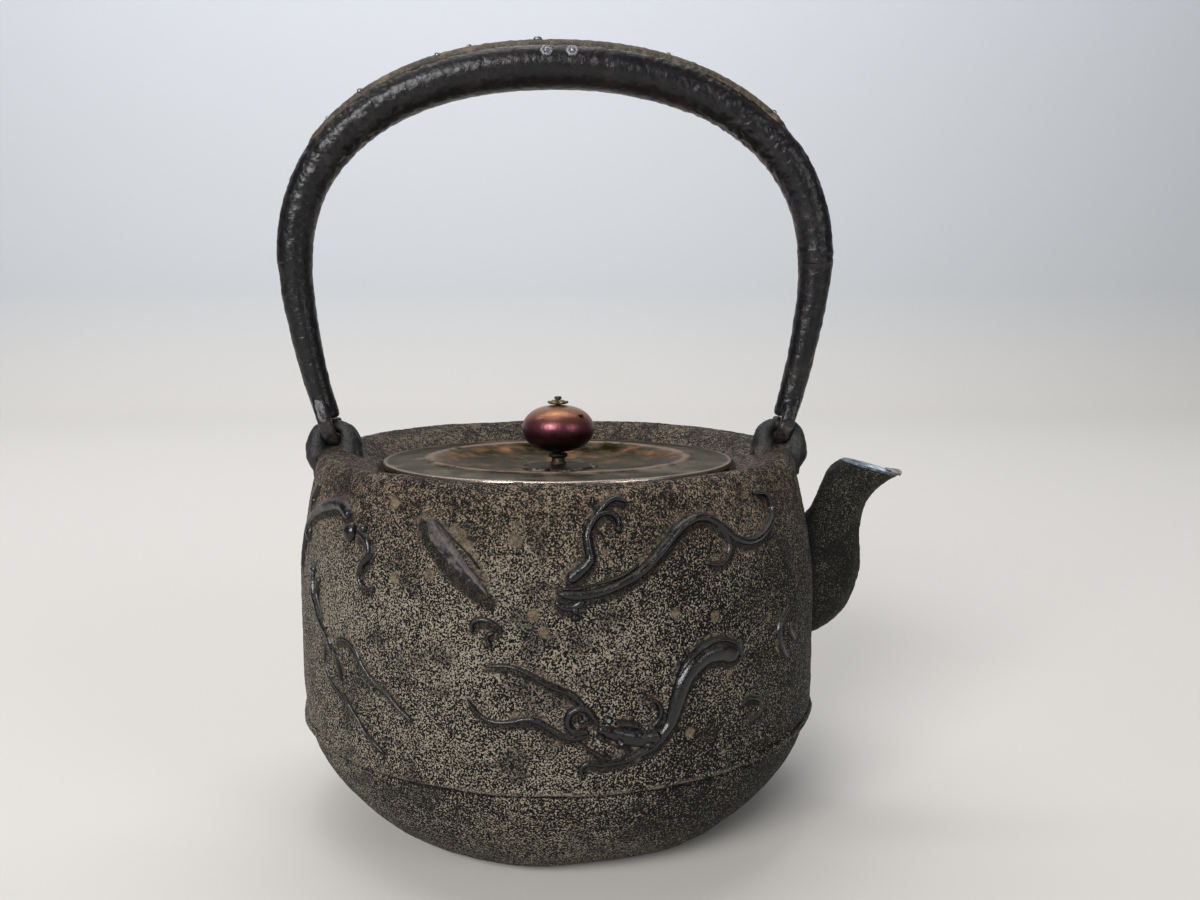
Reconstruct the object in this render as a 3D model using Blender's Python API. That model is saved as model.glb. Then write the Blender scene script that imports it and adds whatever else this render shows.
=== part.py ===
"""Cast iron water kettle with a bail handle, a bronze drop-in lid and a hollow copper knob.

Millimetres are written as n * MM. +X is the spout's side, +Z is up, and the origin is the
centre of the flat base. Every joined piece is its own object with a small gap to the next.
"""
import bpy
import bmesh
from math import cos, hypot, pi, radians, sin
from mathutils import Matrix, Vector
from mathutils.geometry import interpolate_bezier

MM = 0.001
GAP = 0.3 * MM                 # air between two pieces that touch
RUNNING = 0.3 * MM             # radial clearance of pins and spigots in their holes

# Kettle body
BASE_FLAT_R = 48 * MM
BELLY_R = 82.7 * MM
BELLY_Z = 56 * MM              # height of the widest girth
PARTING_Z = 34.7 * MM          # where the bowl mould meets the wall mould
PARTING_R = BELLY_R - 1.4 * MM
PARTING_RIDGE = 0.9 * MM
SHOULDER_Z = 111 * MM          # where the wall starts to turn in
SHOULDER_R = BELLY_R - 5.9 * MM
CREST_R = SHOULDER_R - 4.8 * MM   # highest ring of the shoulder
CREST_Z = SHOULDER_Z + 6.5 * MM
WALL = 3.2 * MM
BOWL_WALL = 0.8 * WALL         # the bowl is cast a little thinner, measured level
BASE_THICK = 4 * MM
LEDGE_Z = SHOULDER_Z - 0.5 * MM   # flat seat that carries the lid
LEDGE_THICK = 4.2 * MM
THROAT_LIP = 1.2 * MM          # step from the throat down to the seat
VAULT_WIDE = 12 * MM           # width of the sloping metal under the seat
VAULT_RISE = 2.5 * MM
BODY_SIDES = 64
CURVE_STEPS = 6                # spans along the wall and along the bowl

# Lid
LID_R = 56.2 * MM
MOUTH_R = LID_R - 6.2 * MM
LID_THICK = 1.6 * MM
LID_TIP = radians(1.5)         # the lid sits a little high at the front
LID_SIDE_PLAY = 1.4 * MM
BEAD_R = 41.7 * MM
BEAD_HALF_WIDE = 2 * MM
BEAD_FOOT = 0.4 * MM           # height of the plate beside the bead
BEAD_HIGH = 0.9 * MM
DISH_R = 30 * MM
DISH_DEEP = 3.6 * MM
SKIRT_DEEP = 8 * MM
SKIRT_WALL = 1.6 * MM
SKIRT_PLAY = 1.8 * MM
LID_SIDES = 48

# Knob, on the lid's axis
KNOB_R = 11.7 * MM
KNOB_HALF_HIGH = 7.6 * MM
KNOB_WALL = 1.0 * MM
PIN_R = 0.8 * MM
PIN_HEAD_R = 1.2 * MM
NECK_R = 2.1 * MM
NECK_HIGH = 2.0 * MM
COLLAR_R = 3.1 * MM
COLLAR_HIGH = 1.6 * MM
SEAT_R = 13.3 * MM
SEAT_THICK = 1.0 * MM
FLOWER_R = 3.4 * MM
FLOWER_THICK = 1.4 * MM
CLINCH_R = 4.5 * MM
CLINCH_THICK = 1 * MM
VENT_R = 1.1 * MM
VENT_TURN = radians(-40)
VENT_LEAN = radians(66)        # of the vent's bore from upright
KNOB_SIDES = 24

# Lugs and handle
LUG_HALF_WIDE = 5.3 * MM       # centre of a foot from the lug's middle
LUG_FOOT_R = 3.2 * MM          # half width of a foot in the lug's plane
# The lugs stand on the crest, and further out where a wider lid needs the room.
LUG_X = max(CREST_R + 0.3 * MM, LID_R + LID_SIDE_PLAY + GAP + LUG_FOOT_R + LUG_HALF_WIDE)
LUG_FOOT_HALF_DEEP = 4.4 * MM
LUG_FOOT_LEAN = 4.2 * MM       # the outer foot runs in under the shoulder by this much
LUG_BAR_R = 2.5 * MM
LUG_SIDES = 12
BRIDGE_Z = CREST_Z + 6.9 * MM  # the handle swings about this height
LUG_FOOT_Z = SHOULDER_Z - 7 * MM
LUG_SPRING_Z = BRIDGE_Z - 9 * MM
HOOK_THICK = 3.0 * MM
HOOK_WIDE = 3.8 * MM
HOOK_SLANT = 2.4 * MM          # the hook leaves the leg this much further out than its turn
HOOK_PLAY = 0.6 * MM
HOOK_RISE = 2 * MM             # how far the straight ends stand over the bridge
HOOK_TIP = 0.65                # thickness of the point, as a share of the hook's own
LEG_END_Z = BRIDGE_Z + 3.6 * MM
LEG_END_X = LUG_X + 1.6 * MM
LEG_LONG = 48 * MM
LEG_TOP_Z = LEG_END_Z + LEG_LONG  # widest height of the handle, where leg and bow meet
BOW_HALF_SPAN = LUG_X + 10.5 * MM
BOW_RISE = 60.9 * MM
BOW_SQUARE = 2.2                  # 2 would be half an ellipse; more is squarer at the haunches
BOW_CENTRE_TOP_Z = LEG_TOP_Z + BOW_RISE
BOW_TOP_THICK = 14.4 * MM
BOW_END_THICK = 11 * MM
LEG_END_THICK = 7.6 * MM
BOW_WALL = 1.3 * MM
SPIGOT_LONG = 6 * MM
BOW_SIDES = 12
BOW_STATIONS = 30
LEG_STATIONS = 9
SEAM_THICK = 1.9 * MM
SEAM_FIRST = 0.16              # ends of the seam, as shares of the way along the bow
SEAM_LAST = 0.80
SEAM_LEAN_BACK = radians(-14)  # edges of the seam round the bow's section
SEAM_LEAN_FRONT = radians(40)
SEAM_STATIONS = 18
STUD_SHANK_R = 0.6 * MM
WASHER_R = 2 * MM
WASHER_THICK = 0.5 * MM

# Spout. Its side view is four curves; each point is (out from the widest girth,
# height as a share of the shoulder's height).
SPOUT_BELLY = ((-10.7 * MM, 0.4685), (14.3 * MM, 0.4955), (17.8 * MM, 0.6306), (16.9 * MM, 0.7568))
SPOUT_LIP = ((16.9 * MM, 0.7568), (16.3 * MM, 0.8468), (18.8 * MM, 0.9279), (29.9 * MM, 0.9712))
SPOUT_THROAT = ((-10.7 * MM, 0.8198), (-6.7 * MM, 0.8288), (-2.7 * MM, 0.8333), (-0.1 * MM, 0.8559))
SPOUT_NAPE = ((-0.1 * MM, 0.8559), (3.3 * MM, 0.8919), (3.8 * MM, 0.9955), (11.5 * MM, 1.0189))
SPOUT_STATIONS = 8             # points along each curve
SPOUT_SIDES = 16
SPOUT_WALL = 2.4 * MM
SPOUT_ROOT_HALF_DEEP = 14.5 * MM
SPOUT_NECK_HALF_DEEP = 8.6 * MM
PORT_HALF_HIGH = 10 * MM
PORT_HALF_DEEP = 8 * MM
PORT_Z = 0.6486 * SHOULDER_Z

for old in list(bpy.data.objects):
    bpy.data.objects.remove(old, do_unlink=True)


def material(name, colour, roughness, metallic):
    made = bpy.data.materials.new(name)
    made.use_nodes = True
    shader = made.node_tree.nodes["Principled BSDF"]
    shader.inputs["Base Color"].default_value = (*colour, 1)
    shader.inputs["Roughness"].default_value = roughness
    shader.inputs["Metallic"].default_value = metallic
    return made


def add_object(name, bm, look, parent=None):
    """Turn a bmesh into a smooth-shaded object, its origin on its parent's axis."""
    bmesh.ops.recalc_face_normals(bm, faces=bm.faces)
    mesh = bpy.data.meshes.new(name)
    if parent:
        bm.transform(parent.matrix_world.inverted())
    bm.to_mesh(mesh)
    bm.free()
    mesh.shade_smooth()
    mesh.set_sharp_from_angle(angle=radians(40))
    mesh.materials.append(look)
    made = bpy.data.objects.new(name, mesh)
    bpy.context.collection.objects.link(made)
    if parent:
        made.parent = parent
    return made


def add_axis(name, where, turn=None):
    """Empty on a joint's axis; the moving pieces are parented to it."""
    empty = bpy.data.objects.new(name, None)
    empty.matrix_world = Matrix.Translation(where) @ (turn or Matrix())
    bpy.context.collection.objects.link(empty)
    bpy.context.view_layer.update()
    return empty


def skin_rings(bm, rings, closed_loop=False):
    """Join rings of equally many points with quads; cap both ends unless the rings close up."""
    rows = [[bm.verts.new(p) for p in ring] for ring in rings]
    count = len(rows[0])
    spans = len(rows) if closed_loop else len(rows) - 1
    for i in range(spans):
        a, b = rows[i], rows[(i + 1) % len(rows)]
        for j in range(count):
            k = (j + 1) % count
            bm.faces.new((a[j], a[k], b[k], b[j]))
    if not closed_loop:
        bm.faces.new(rows[0])
        bm.faces.new(list(reversed(rows[-1])))


def turned(outline, segments, frame=Matrix()):
    """Body of revolution about the frame's Z from a closed (radius, height) outline."""
    bm = bmesh.new()
    rows = []
    for r, z in outline:
        if r < 1e-9:
            rows.append([bm.verts.new(frame @ Vector((0, 0, z)))])
            continue
        angles = [2 * pi * i / segments for i in range(segments)]
        rows.append([bm.verts.new(frame @ Vector((r * cos(a), r * sin(a), z))) for a in angles])
    for i, a in enumerate(rows):
        b = rows[(i + 1) % len(rows)]
        if len(a) == len(b) == 1:
            continue
        for j in range(segments):
            k = (j + 1) % segments
            corners = [a[j % len(a)], a[k % len(a)], b[k % len(b)], b[j % len(b)]]
            bm.faces.new(list(dict.fromkeys(corners)))
    return bm


def oval_ring(centre, across, depth, half_across, half_depth, sides, squareness=2.0):
    """Points of an oval (superellipse) in the plane of two unit vectors."""
    ring = []
    for i in range(sides):
        a = 2 * pi * i / sides
        u = abs(cos(a)) ** (2 / squareness) * (1 if cos(a) >= 0 else -1)
        v = abs(sin(a)) ** (2 / squareness) * (1 if sin(a) >= 0 else -1)
        ring.append(centre + across * (u * half_across) + depth * (v * half_depth))
    return ring


def cut(target, tool, operation="DIFFERENCE"):
    """Boolean with a hidden tool object."""
    tool.hide_render = True
    tool.display_type = "WIRE"
    change = target.modifiers.new(tool.name, "BOOLEAN")
    change.operation = operation
    change.solver = "EXACT"
    change.object = tool


IRON = material("cast_iron", (0.075, 0.062, 0.048), 0.75, 0.35)
SPOUT_IRON = material("spout_iron", (0.07, 0.06, 0.05), 0.7, 0.4)
LUG_IRON = material("lug_iron", (0.045, 0.036, 0.03), 0.6, 0.4)
FORGED = material("handle_iron", (0.03, 0.024, 0.027), 0.42, 0.5)
LEG_IRON = material("leg_iron", (0.026, 0.022, 0.024), 0.45, 0.5)
SEAM = material("seam_braze", (0.14, 0.095, 0.045), 0.5, 0.7)
SILVER = material("stud_silver", (0.45, 0.46, 0.5), 0.3, 1.0)
LID_BRONZE = material("lid_bronze", (0.06, 0.055, 0.045), 0.3, 0.85)
COPPER = material("knob_copper", (0.2, 0.06, 0.035), 0.3, 0.9)
BRASS = material("flower_brass", (0.2, 0.15, 0.06), 0.4, 0.9)
SEAT_METAL = material("seat_bronze", (0.03, 0.026, 0.022), 0.5, 0.6)


# ---------------------------------------------------------------- kettle body
def bowl_curve(steps):
    """Round bowl under the parting line, from the flat base up."""
    points = []
    for i in range(steps):
        z = PARTING_Z * (1 - cos(pi / 2 * i / steps))
        rise = (1 - (1 - z / PARTING_Z) ** 1.42) ** (1 / 1.79)
        points.append((BASE_FLAT_R + (PARTING_R - BASE_FLAT_R) * rise, z))
    return points


def wall_curve(steps):
    """Slightly barrelled wall from the parting line to the shoulder."""
    points = []
    for i in range(steps + 1):
        z = PARTING_Z + PARTING_RIDGE + (SHOULDER_Z - PARTING_Z - PARTING_RIDGE) * i / steps
        if z > BELLY_Z:
            drop = (BELLY_R - SHOULDER_R) * ((z - BELLY_Z) / (SHOULDER_Z - BELLY_Z)) ** 2.9
        else:
            drop = PARTING_RIDGE * ((BELLY_Z - z) / (BELLY_Z - PARTING_Z)) ** 2
        points.append((BELLY_R - drop, z))
    return points


def shoulder_curve(steps):
    """Quarter oval over the shoulder, ending on its crest."""
    quarter = [pi / 2 * i / steps for i in range(1, steps + 1)]
    wide = SHOULDER_R - CREST_R
    return [(CREST_R + wide * cos(a), SHOULDER_Z + (CREST_Z - SHOULDER_Z) * sin(a)) for a in quarter]


def throat_curve(steps):
    """Shallow funnel from the crest down to the rim of the lid's seat."""
    inner_r = LID_R + LID_SIDE_PLAY
    points = []
    for i in range(1, steps + 1):
        s = i / steps
        fall = (CREST_Z - LEDGE_Z - THROAT_LIP) * s ** 1.4
        points.append((CREST_R + (inner_r - CREST_R) * s, CREST_Z - fall))
    return points


def outside():
    low = bowl_curve(CURVE_STEPS) + [(PARTING_R, PARTING_Z)] + wall_curve(CURVE_STEPS)
    return low + shoulder_curve(CURVE_STEPS // 2) + throat_curve(CURVE_STEPS // 2)


def pushed_out(points, gap):
    """Offset a profile away from the metal, keeping its ends on the same heights."""
    moved = []
    for i, (r, z) in enumerate(points):
        before = points[max(i - 1, 0)]
        after = points[min(i + 1, len(points) - 1)]
        dr, dz = after[0] - before[0], after[1] - before[1]
        long = hypot(dr, dz)
        moved.append((r + gap * dz / long, z - gap * dr / long))
    return moved


def body_outline():
    inside_wall = [(r - WALL, z) for r, z in wall_curve(4) if z < SHOULDER_Z - 2 * MM]
    inside_bowl = [(r - BOWL_WALL, z + BASE_THICK * (1 - 0.9 * z / PARTING_Z))
                   for r, z in bowl_curve(4)[1:]]
    rim = [(LID_R + LID_SIDE_PLAY, LEDGE_Z), (MOUTH_R, LEDGE_Z), (MOUTH_R, LEDGE_Z - LEDGE_THICK)]
    vault = [(MOUTH_R + VAULT_WIDE, LEDGE_Z - LEDGE_THICK + VAULT_RISE), (CREST_R, LEDGE_Z - 0.5 * MM)]
    floor = [(BASE_FLAT_R - BASE_THICK, BASE_THICK), (0, BASE_THICK)]
    hollow = list(reversed(inside_wall)) + list(reversed(inside_bowl))
    return [(0, 0)] + outside() + rim + vault + hollow + floor


kettle_body = add_object("kettle_body", turned(body_outline(), BODY_SIDES), IRON)

port_rings = [oval_ring(Vector((x, 0, PORT_Z)), Vector((0, 0, 1)), Vector((0, 1, 0)),
                        PORT_HALF_HIGH, PORT_HALF_DEEP, SPOUT_SIDES)
              for x in (BELLY_R - 4 * WALL, BELLY_R + 4 * WALL)]
port_bm = bmesh.new()
skin_rings(port_bm, port_rings)
cut(kettle_body, add_object("spout_port_cutter", port_bm, IRON))

clear_bm = turned([(0, -GAP)] + pushed_out(outside(), GAP) + [(0, LEDGE_Z)], BODY_SIDES)
clear_of_body = add_object("body_envelope_cutter", clear_bm, IRON)


# ---------------------------------------------------------------- spout
def side_curve(controls):
    corners = [Vector((BELLY_R + out, 0, share * SHOULDER_Z)) for out, share in controls]
    return interpolate_bezier(*corners, SPOUT_STATIONS)


def spout_rings(wall):
    """Oval sections from the root to the mouth, a wall's thickness inside the outer faces."""
    lower = side_curve(SPOUT_BELLY) + side_curve(SPOUT_LIP)[1:]
    upper = side_curve(SPOUT_THROAT) + side_curve(SPOUT_NAPE)[1:]
    rings = []
    for i, (low, high) in enumerate(zip(lower, upper)):
        s = i / (len(lower) - 1)
        across = (high - low).normalized()
        half = (high - low).length / 2
        narrowing = (1 - s) ** 2
        deep = SPOUT_NECK_HALF_DEEP + (SPOUT_ROOT_HALF_DEEP - SPOUT_NECK_HALF_DEEP) * narrowing
        rings.append(oval_ring((low + high) / 2, across, Vector((0, 1, 0)),
                               half - wall, deep - wall, SPOUT_SIDES))
    return rings


spout_bm = bmesh.new()
skin_rings(spout_bm, spout_rings(0) + list(reversed(spout_rings(SPOUT_WALL))), closed_loop=True)
spout = add_object("spout", spout_bm, SPOUT_IRON)
cut(spout, clear_of_body)


# ---------------------------------------------------------------- lugs
def lug_rings(side):
    """Ear of rounded bar: two feet joined by a nearly level bridge, hole along Y."""
    rise = BRIDGE_Z - LUG_SPRING_Z
    centres = [(-LUG_HALF_WIDE + (LUG_FOOT_LEAN if side < 0 else 0), LUG_FOOT_Z)]
    for i in range(LUG_SIDES + 1):
        a = pi - pi * i / LUG_SIDES
        flat = abs(cos(a)) ** (2 / 3) * (1 if cos(a) >= 0 else -1)
        centres.append((LUG_HALF_WIDE * flat, LUG_SPRING_Z + rise * abs(sin(a)) ** (2 / 3)))
    centres.append((LUG_HALF_WIDE - (LUG_FOOT_LEAN if side > 0 else 0), LUG_FOOT_Z))
    rings = []
    for i, (dx, z) in enumerate(centres):
        before, after = centres[max(i - 1, 0)], centres[min(i + 1, len(centres) - 1)]
        along = Vector((after[0] - before[0], 0, after[1] - before[1])).normalized()
        across = Vector((-along.z, 0, along.x))
        foot = min(max((BRIDGE_Z - z) / (BRIDGE_Z - LUG_SPRING_Z), 0), 1) ** 2
        where = Vector((side * LUG_X + dx, 0, z))
        rings.append(oval_ring(where, across, Vector((0, 1, 0)),
                               LUG_BAR_R + (LUG_FOOT_R - LUG_BAR_R) * foot,
                               LUG_BAR_R + (LUG_FOOT_HALF_DEEP - LUG_BAR_R) * foot, LUG_SIDES))
    return rings


for side, side_name in ((-1, "left"), (1, "right")):
    lug_bm = bmesh.new()
    skin_rings(lug_bm, lug_rings(side))
    cut(add_object(f"lug_{side_name}", lug_bm, LUG_IRON), clear_of_body)


# ---------------------------------------------------------------- handle
handle_axis = add_axis("handle_axis", (0, 0, BRIDGE_Z))
DEPTH = Vector((0, 1, 0))


def arch_point(t):
    """Centre of the handle over the widest height; t runs 0 to 1 from left to right."""
    a = pi * t
    flat = abs(cos(a)) ** (2 / BOW_SQUARE) * (-1 if cos(a) >= 0 else 1)
    high = sin(a) ** (2 / BOW_SQUARE)
    return Vector((BOW_HALF_SPAN * flat, 0, LEG_TOP_Z + (BOW_CENTRE_TOP_Z - LEG_TOP_Z) * high))


def arch_frame(t):
    """Centre, outward direction and half thickness of the bow's section at t."""
    step = 0.002
    along = (arch_point(min(t + step, 1)) - arch_point(max(t - step, 0))).normalized()
    if t < step or t > 1 - step:
        along = Vector((0, 0, 1 if t < 0.5 else -1))
    outward = Vector((-along.z, 0, along.x))
    fullness = sin(pi * t) ** 1.3
    return arch_point(t), outward, (BOW_END_THICK + (BOW_TOP_THICK - BOW_END_THICK) * fullness) / 2


def bow_rings(inset):
    rings = []
    for i in range(BOW_STATIONS + 1):
        centre, outward, half = arch_frame(i / BOW_STATIONS)
        rings.append(oval_ring(centre, outward, DEPTH, half - inset, half - inset, BOW_SIDES))
    return rings


def place_on_bow(t, lean, lift):
    """Point and direction on the bow's skin, leaning from the outer side towards the front."""
    centre, outward, half = arch_frame(t)
    direction = outward * cos(lean) - DEPTH * sin(lean)
    return centre + direction * (half + lift), direction


def seam_rings(across=4):
    """Brazed lap seam lying along the outer side of the bow, thin at both ends."""
    rings = []
    for i in range(SEAM_STATIONS + 1):
        s = i / SEAM_STATIONS
        t = SEAM_FIRST + (SEAM_LAST - SEAM_FIRST) * s
        thick = SEAM_THICK * (0.35 + 0.65 * sin(pi * s) ** 0.5)
        spread = SEAM_LEAN_FRONT - SEAM_LEAN_BACK
        leans = [SEAM_LEAN_BACK + spread * j / across for j in range(across + 1)]
        under = [place_on_bow(t, lean, GAP)[0] for lean in leans]
        over = [place_on_bow(t, lean, GAP + thick * (0.55 + 0.45 * sin(pi * j / across)))[0]
                for j, lean in enumerate(leans)]
        rings.append(under + list(reversed(over)))
    return rings


bow_bm = bmesh.new()
skin_rings(bow_bm, bow_rings(0) + list(reversed(bow_rings(BOW_WALL))), closed_loop=True)
handle_bow = add_object("handle_bow", bow_bm, FORGED, handle_axis)

seam_bm = bmesh.new()
skin_rings(seam_bm, seam_rings())
handle_seam = add_object("handle_seam", seam_bm, SEAM, handle_axis)


def leg_centre(z):
    """Centre of a leg below the widest height, drawing in towards the lug."""
    s = (LEG_TOP_Z - z) / (LEG_TOP_Z - LEG_END_Z)
    return BOW_HALF_SPAN - (BOW_HALF_SPAN - LEG_END_X) * s ** 1.6


def leg_rings(side):
    """Spigot that plugs the bow's end, then the leg tapering down to the hook."""
    rings = []
    top = LEG_TOP_Z - GAP
    spigot_r = BOW_END_THICK / 2 - BOW_WALL - RUNNING
    for z in (LEG_TOP_Z + SPIGOT_LONG, top):
        up = max(z - LEG_TOP_Z, 0) / BOW_RISE
        where = Vector((side * BOW_HALF_SPAN * (1 - up ** BOW_SQUARE) ** (1 / BOW_SQUARE), 0, z))
        rings.append(oval_ring(where, Vector((1, 0, 0)), DEPTH, spigot_r, spigot_r, BOW_SIDES))
    for i in range(LEG_STATIONS + 1):
        s = i / LEG_STATIONS
        z = top + (LEG_END_Z - top) * s
        half = (BOW_END_THICK + (LEG_END_THICK - BOW_END_THICK) * s ** 0.7) / 2
        where = Vector((side * leg_centre(z), 0, z))
        rings.append(oval_ring(where, Vector((1, 0, 0)), DEPTH, half, half * (1 - 0.06 * s), BOW_SIDES))
    return rings


def hook_rings(side):
    """Flat forged hook: out of the leg's front, under the bridge and up behind it."""
    turn_r = LUG_BAR_R + HOOK_PLAY + HOOK_THICK / 2
    spine = [(-0.26 * turn_r, LEG_END_Z + 2.5 * HOOK_THICK), (-0.74 * turn_r, LEG_END_Z + 0.8 * HOOK_THICK)]
    spine.append((-turn_r, BRIDGE_Z + HOOK_RISE))
    spine += [(-turn_r * cos(a), BRIDGE_Z - turn_r * sin(a)) for a in (pi * i / 8 for i in range(9))]
    spine.append((0.93 * turn_r, BRIDGE_Z + HOOK_RISE))
    rings = []
    for i, (y, z) in enumerate(spine):
        before, after = spine[max(i - 1, 0)], spine[min(i + 1, len(spine) - 1)]
        along = Vector((0, after[0] - before[0], after[1] - before[1])).normalized()
        across = Vector((0, -along.z, along.y))
        taper = 1 - (1 - HOOK_TIP) * max(i - len(spine) + 4, 0) / 3
        slant = HOOK_SLANT * min(max((z - BRIDGE_Z) / (LEG_END_Z - BRIDGE_Z), 0), 1) * (y < 0)
        where = Vector((side * (LUG_X + slant), y, z))
        rings.append(oval_ring(where, across, Vector((1, 0, 0)),
                               HOOK_THICK / 2 * taper, HOOK_WIDE / 2 * taper, 10, 2.6))
    return rings


for side, side_name in ((-1, "left"), (1, "right")):
    leg_bm = bmesh.new()
    skin_rings(leg_bm, leg_rings(side))
    leg = add_object(f"handle_leg_{side_name}", leg_bm, LEG_IRON, handle_axis)
    hook_bm = bmesh.new()
    skin_rings(hook_bm, hook_rings(side))
    cut(leg, add_object(f"hook_{side_name}_tool", hook_bm, LEG_IRON, handle_axis), "UNION")

# name, place along the bow, lean to the front in degrees, head radius, with washer
STUDS = (
    ("stud_1", 0.215, 18, 0.8, False),
    ("stud_2", 0.270, 18, 1.0, False),
    ("stud_3", 0.375, 24, 1.0, False),
    ("stud_4", 0.412, 10, 0.9, False),
    ("stud_5", 0.484, 12, 1.4, False),
    ("stud_6", 0.492, 62, 0.9, True),
    ("stud_7", 0.514, 62, 0.9, True),
    ("stud_8", 0.618, 14, 0.8, False),
    ("stud_9", 0.770, 14, 0.9, False),
)


def upright_frame(point, direction):
    return Matrix.Translation(point) @ direction.to_track_quat("Z", "Y").to_matrix().to_4x4()


def dome(radius, high, steps):
    return [(radius * cos(a), high * sin(a)) for a in (pi / 2 * i / steps for i in range(1, steps + 1))]


for name, t, lean_deg, head_mm, washer in STUDS:
    lean = radians(lean_deg)
    on_seam = SEAM_FIRST < t < SEAM_LAST and SEAM_LEAN_BACK < lean < SEAM_LEAN_FRONT
    surface, direction = place_on_bow(t, lean, GAP + SEAM_THICK if on_seam else 0)
    seat = surface + direction * (GAP + (WASHER_THICK + GAP if washer else 0))
    head = head_mm * MM
    depth = (seat - arch_frame(t)[0]).length - arch_frame(t)[2] + BOW_WALL
    shank = [(0, -depth), (STUD_SHANK_R, -depth), (STUD_SHANK_R, 0), (head, 0)]
    stud_bm = turned(shank + dome(head, head * 0.8, 3), 10, upright_frame(seat, direction))
    add_object(name, stud_bm, SILVER, handle_axis)
    hole_r = STUD_SHANK_R + RUNNING
    bore = turned([(0, -depth - MM), (hole_r, -depth - MM), (hole_r, MM), (0, MM)], 8,
                  upright_frame(seat, direction))
    tool = add_object(f"{name}_cutter", bore, SILVER, handle_axis)
    cut(handle_bow, tool)
    if on_seam:
        cut(handle_seam, tool)
    if washer:
        ring_outline = [(hole_r, 0), (WASHER_R, 0), (0.9 * WASHER_R, WASHER_THICK), (hole_r, WASHER_THICK)]
        ring_bm = turned(ring_outline, 12, upright_frame(surface + direction * GAP, direction))
        add_object(f"{name}_washer", ring_bm, SILVER, handle_axis)


# ---------------------------------------------------------------- lid
LID_EDGE_Z = LEDGE_Z + GAP + LID_THICK + LID_R * sin(LID_TIP)   # height of the lid's rim plane
lid_axis = add_axis("lid_axis", (0, 0, LID_EDGE_Z), Matrix.Rotation(-LID_TIP, 4, "X"))
TIPPED = lid_axis.matrix_world.copy()
PIN_HOLE_R = PIN_R + RUNNING


def lid_top(r):
    """Height of the lid's upper face over its rim plane."""
    if r > BEAD_R + BEAD_HALF_WIDE:
        return 1.1 * BEAD_FOOT * (LID_R - r) / (LID_R - BEAD_R)
    if r > BEAD_R - BEAD_HALF_WIDE:
        swell = cos((r - BEAD_R) / BEAD_HALF_WIDE * pi / 2)
        return BEAD_FOOT + (BEAD_HIGH - BEAD_FOOT) * swell
    s = min((BEAD_R - BEAD_HALF_WIDE - r) / (BEAD_R - BEAD_HALF_WIDE - DISH_R), 1)
    inner = -DISH_DEEP * 0.45 * (1 - cos(pi * s)) / 2
    return BEAD_FOOT * (1 - s) + inner - DISH_DEEP * 0.55 * max(1 - r / DISH_R, 0) ** 0.7 * (s >= 1)


def lid_outline():
    rim = [LID_R - 0.5 * MM] + [BEAD_R + BEAD_HALF_WIDE * k / 2 for k in (2, 1, 0, -1, -2)]
    dish = [(BEAD_R + DISH_R) / 2, DISH_R, 0.8 * DISH_R, 0.57 * DISH_R]
    top = [(LID_R, -LID_THICK / 4)] + [(r, max(lid_top(r), -DISH_DEEP)) for r in rim + dish]
    top += [(SEAT_R, -DISH_DEEP), (PIN_HOLE_R, -DISH_DEEP)]
    under = [(PIN_HOLE_R, -DISH_DEEP - LID_THICK), (SEAT_R, -DISH_DEEP - LID_THICK),
             (DISH_R, lid_top(DISH_R) - LID_THICK), (BEAD_R - 2 * BEAD_HALF_WIDE, -LID_THICK),
             (LID_R, -LID_THICK)]
    return top + under


add_object("lid_plate", turned(lid_outline(), LID_SIDES, TIPPED), LID_BRONZE, lid_axis)

skirt_r = MOUTH_R - SKIRT_PLAY
skirt_outline = [(skirt_r, -LID_THICK - GAP), (skirt_r, -LID_THICK - SKIRT_DEEP),
                 (skirt_r - SKIRT_WALL, -LID_THICK - SKIRT_DEEP), (skirt_r - SKIRT_WALL, -LID_THICK - GAP)]
add_object("lid_skirt", turned(skirt_outline, LID_SIDES, TIPPED), LID_BRONZE, lid_axis)


def petal_plate(radius, hole_r, thick, base, petals, depth, sides, look, name, parent):
    """Flat flower-shaped washer with a round hole."""
    bm = bmesh.new()
    rows = []
    for flat_z in (base, base + thick):
        outer, inner = [], []
        for i in range(sides):
            a = 2 * pi * i / sides
            r = radius * (1 - depth * (1 - abs(cos(a * petals / 2)) ** 0.8))
            outer.append(TIPPED @ Vector((r * cos(a), r * sin(a), flat_z)))
            inner.append(TIPPED @ Vector((hole_r * cos(a), hole_r * sin(a), flat_z)))
        rows.append((outer, inner))
    skin_rings(bm, [rows[0][1], rows[0][0], rows[1][0], rows[1][1]], closed_loop=True)
    return add_object(name, bm, look, parent)


seat_base = -DISH_DEEP + GAP
petal_plate(SEAT_R, PIN_HOLE_R, SEAT_THICK, seat_base, 5, 0.3, 40, SEAT_METAL, "knob_seat", lid_axis)


# ---------------------------------------------------------------- knob
neck_base = seat_base + SEAT_THICK + GAP
collar_base = neck_base + NECK_HIGH
neck_outline = [(PIN_HOLE_R, neck_base), (NECK_R + 0.5 * MM, neck_base), (NECK_R, neck_base + 0.6 * MM),
                (NECK_R, collar_base), (COLLAR_R - 0.3 * MM, collar_base + 0.2 * MM),
                (COLLAR_R, collar_base + COLLAR_HIGH / 2), (COLLAR_R - 0.3 * MM, collar_base + COLLAR_HIGH),
                (PIN_HOLE_R, collar_base + COLLAR_HIGH)]
add_object("knob_neck", turned(neck_outline, KNOB_SIDES, TIPPED), SEAT_METAL, lid_axis)

shell_base = collar_base + COLLAR_HIGH + GAP
equator = shell_base + KNOB_HALF_HIGH


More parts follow.
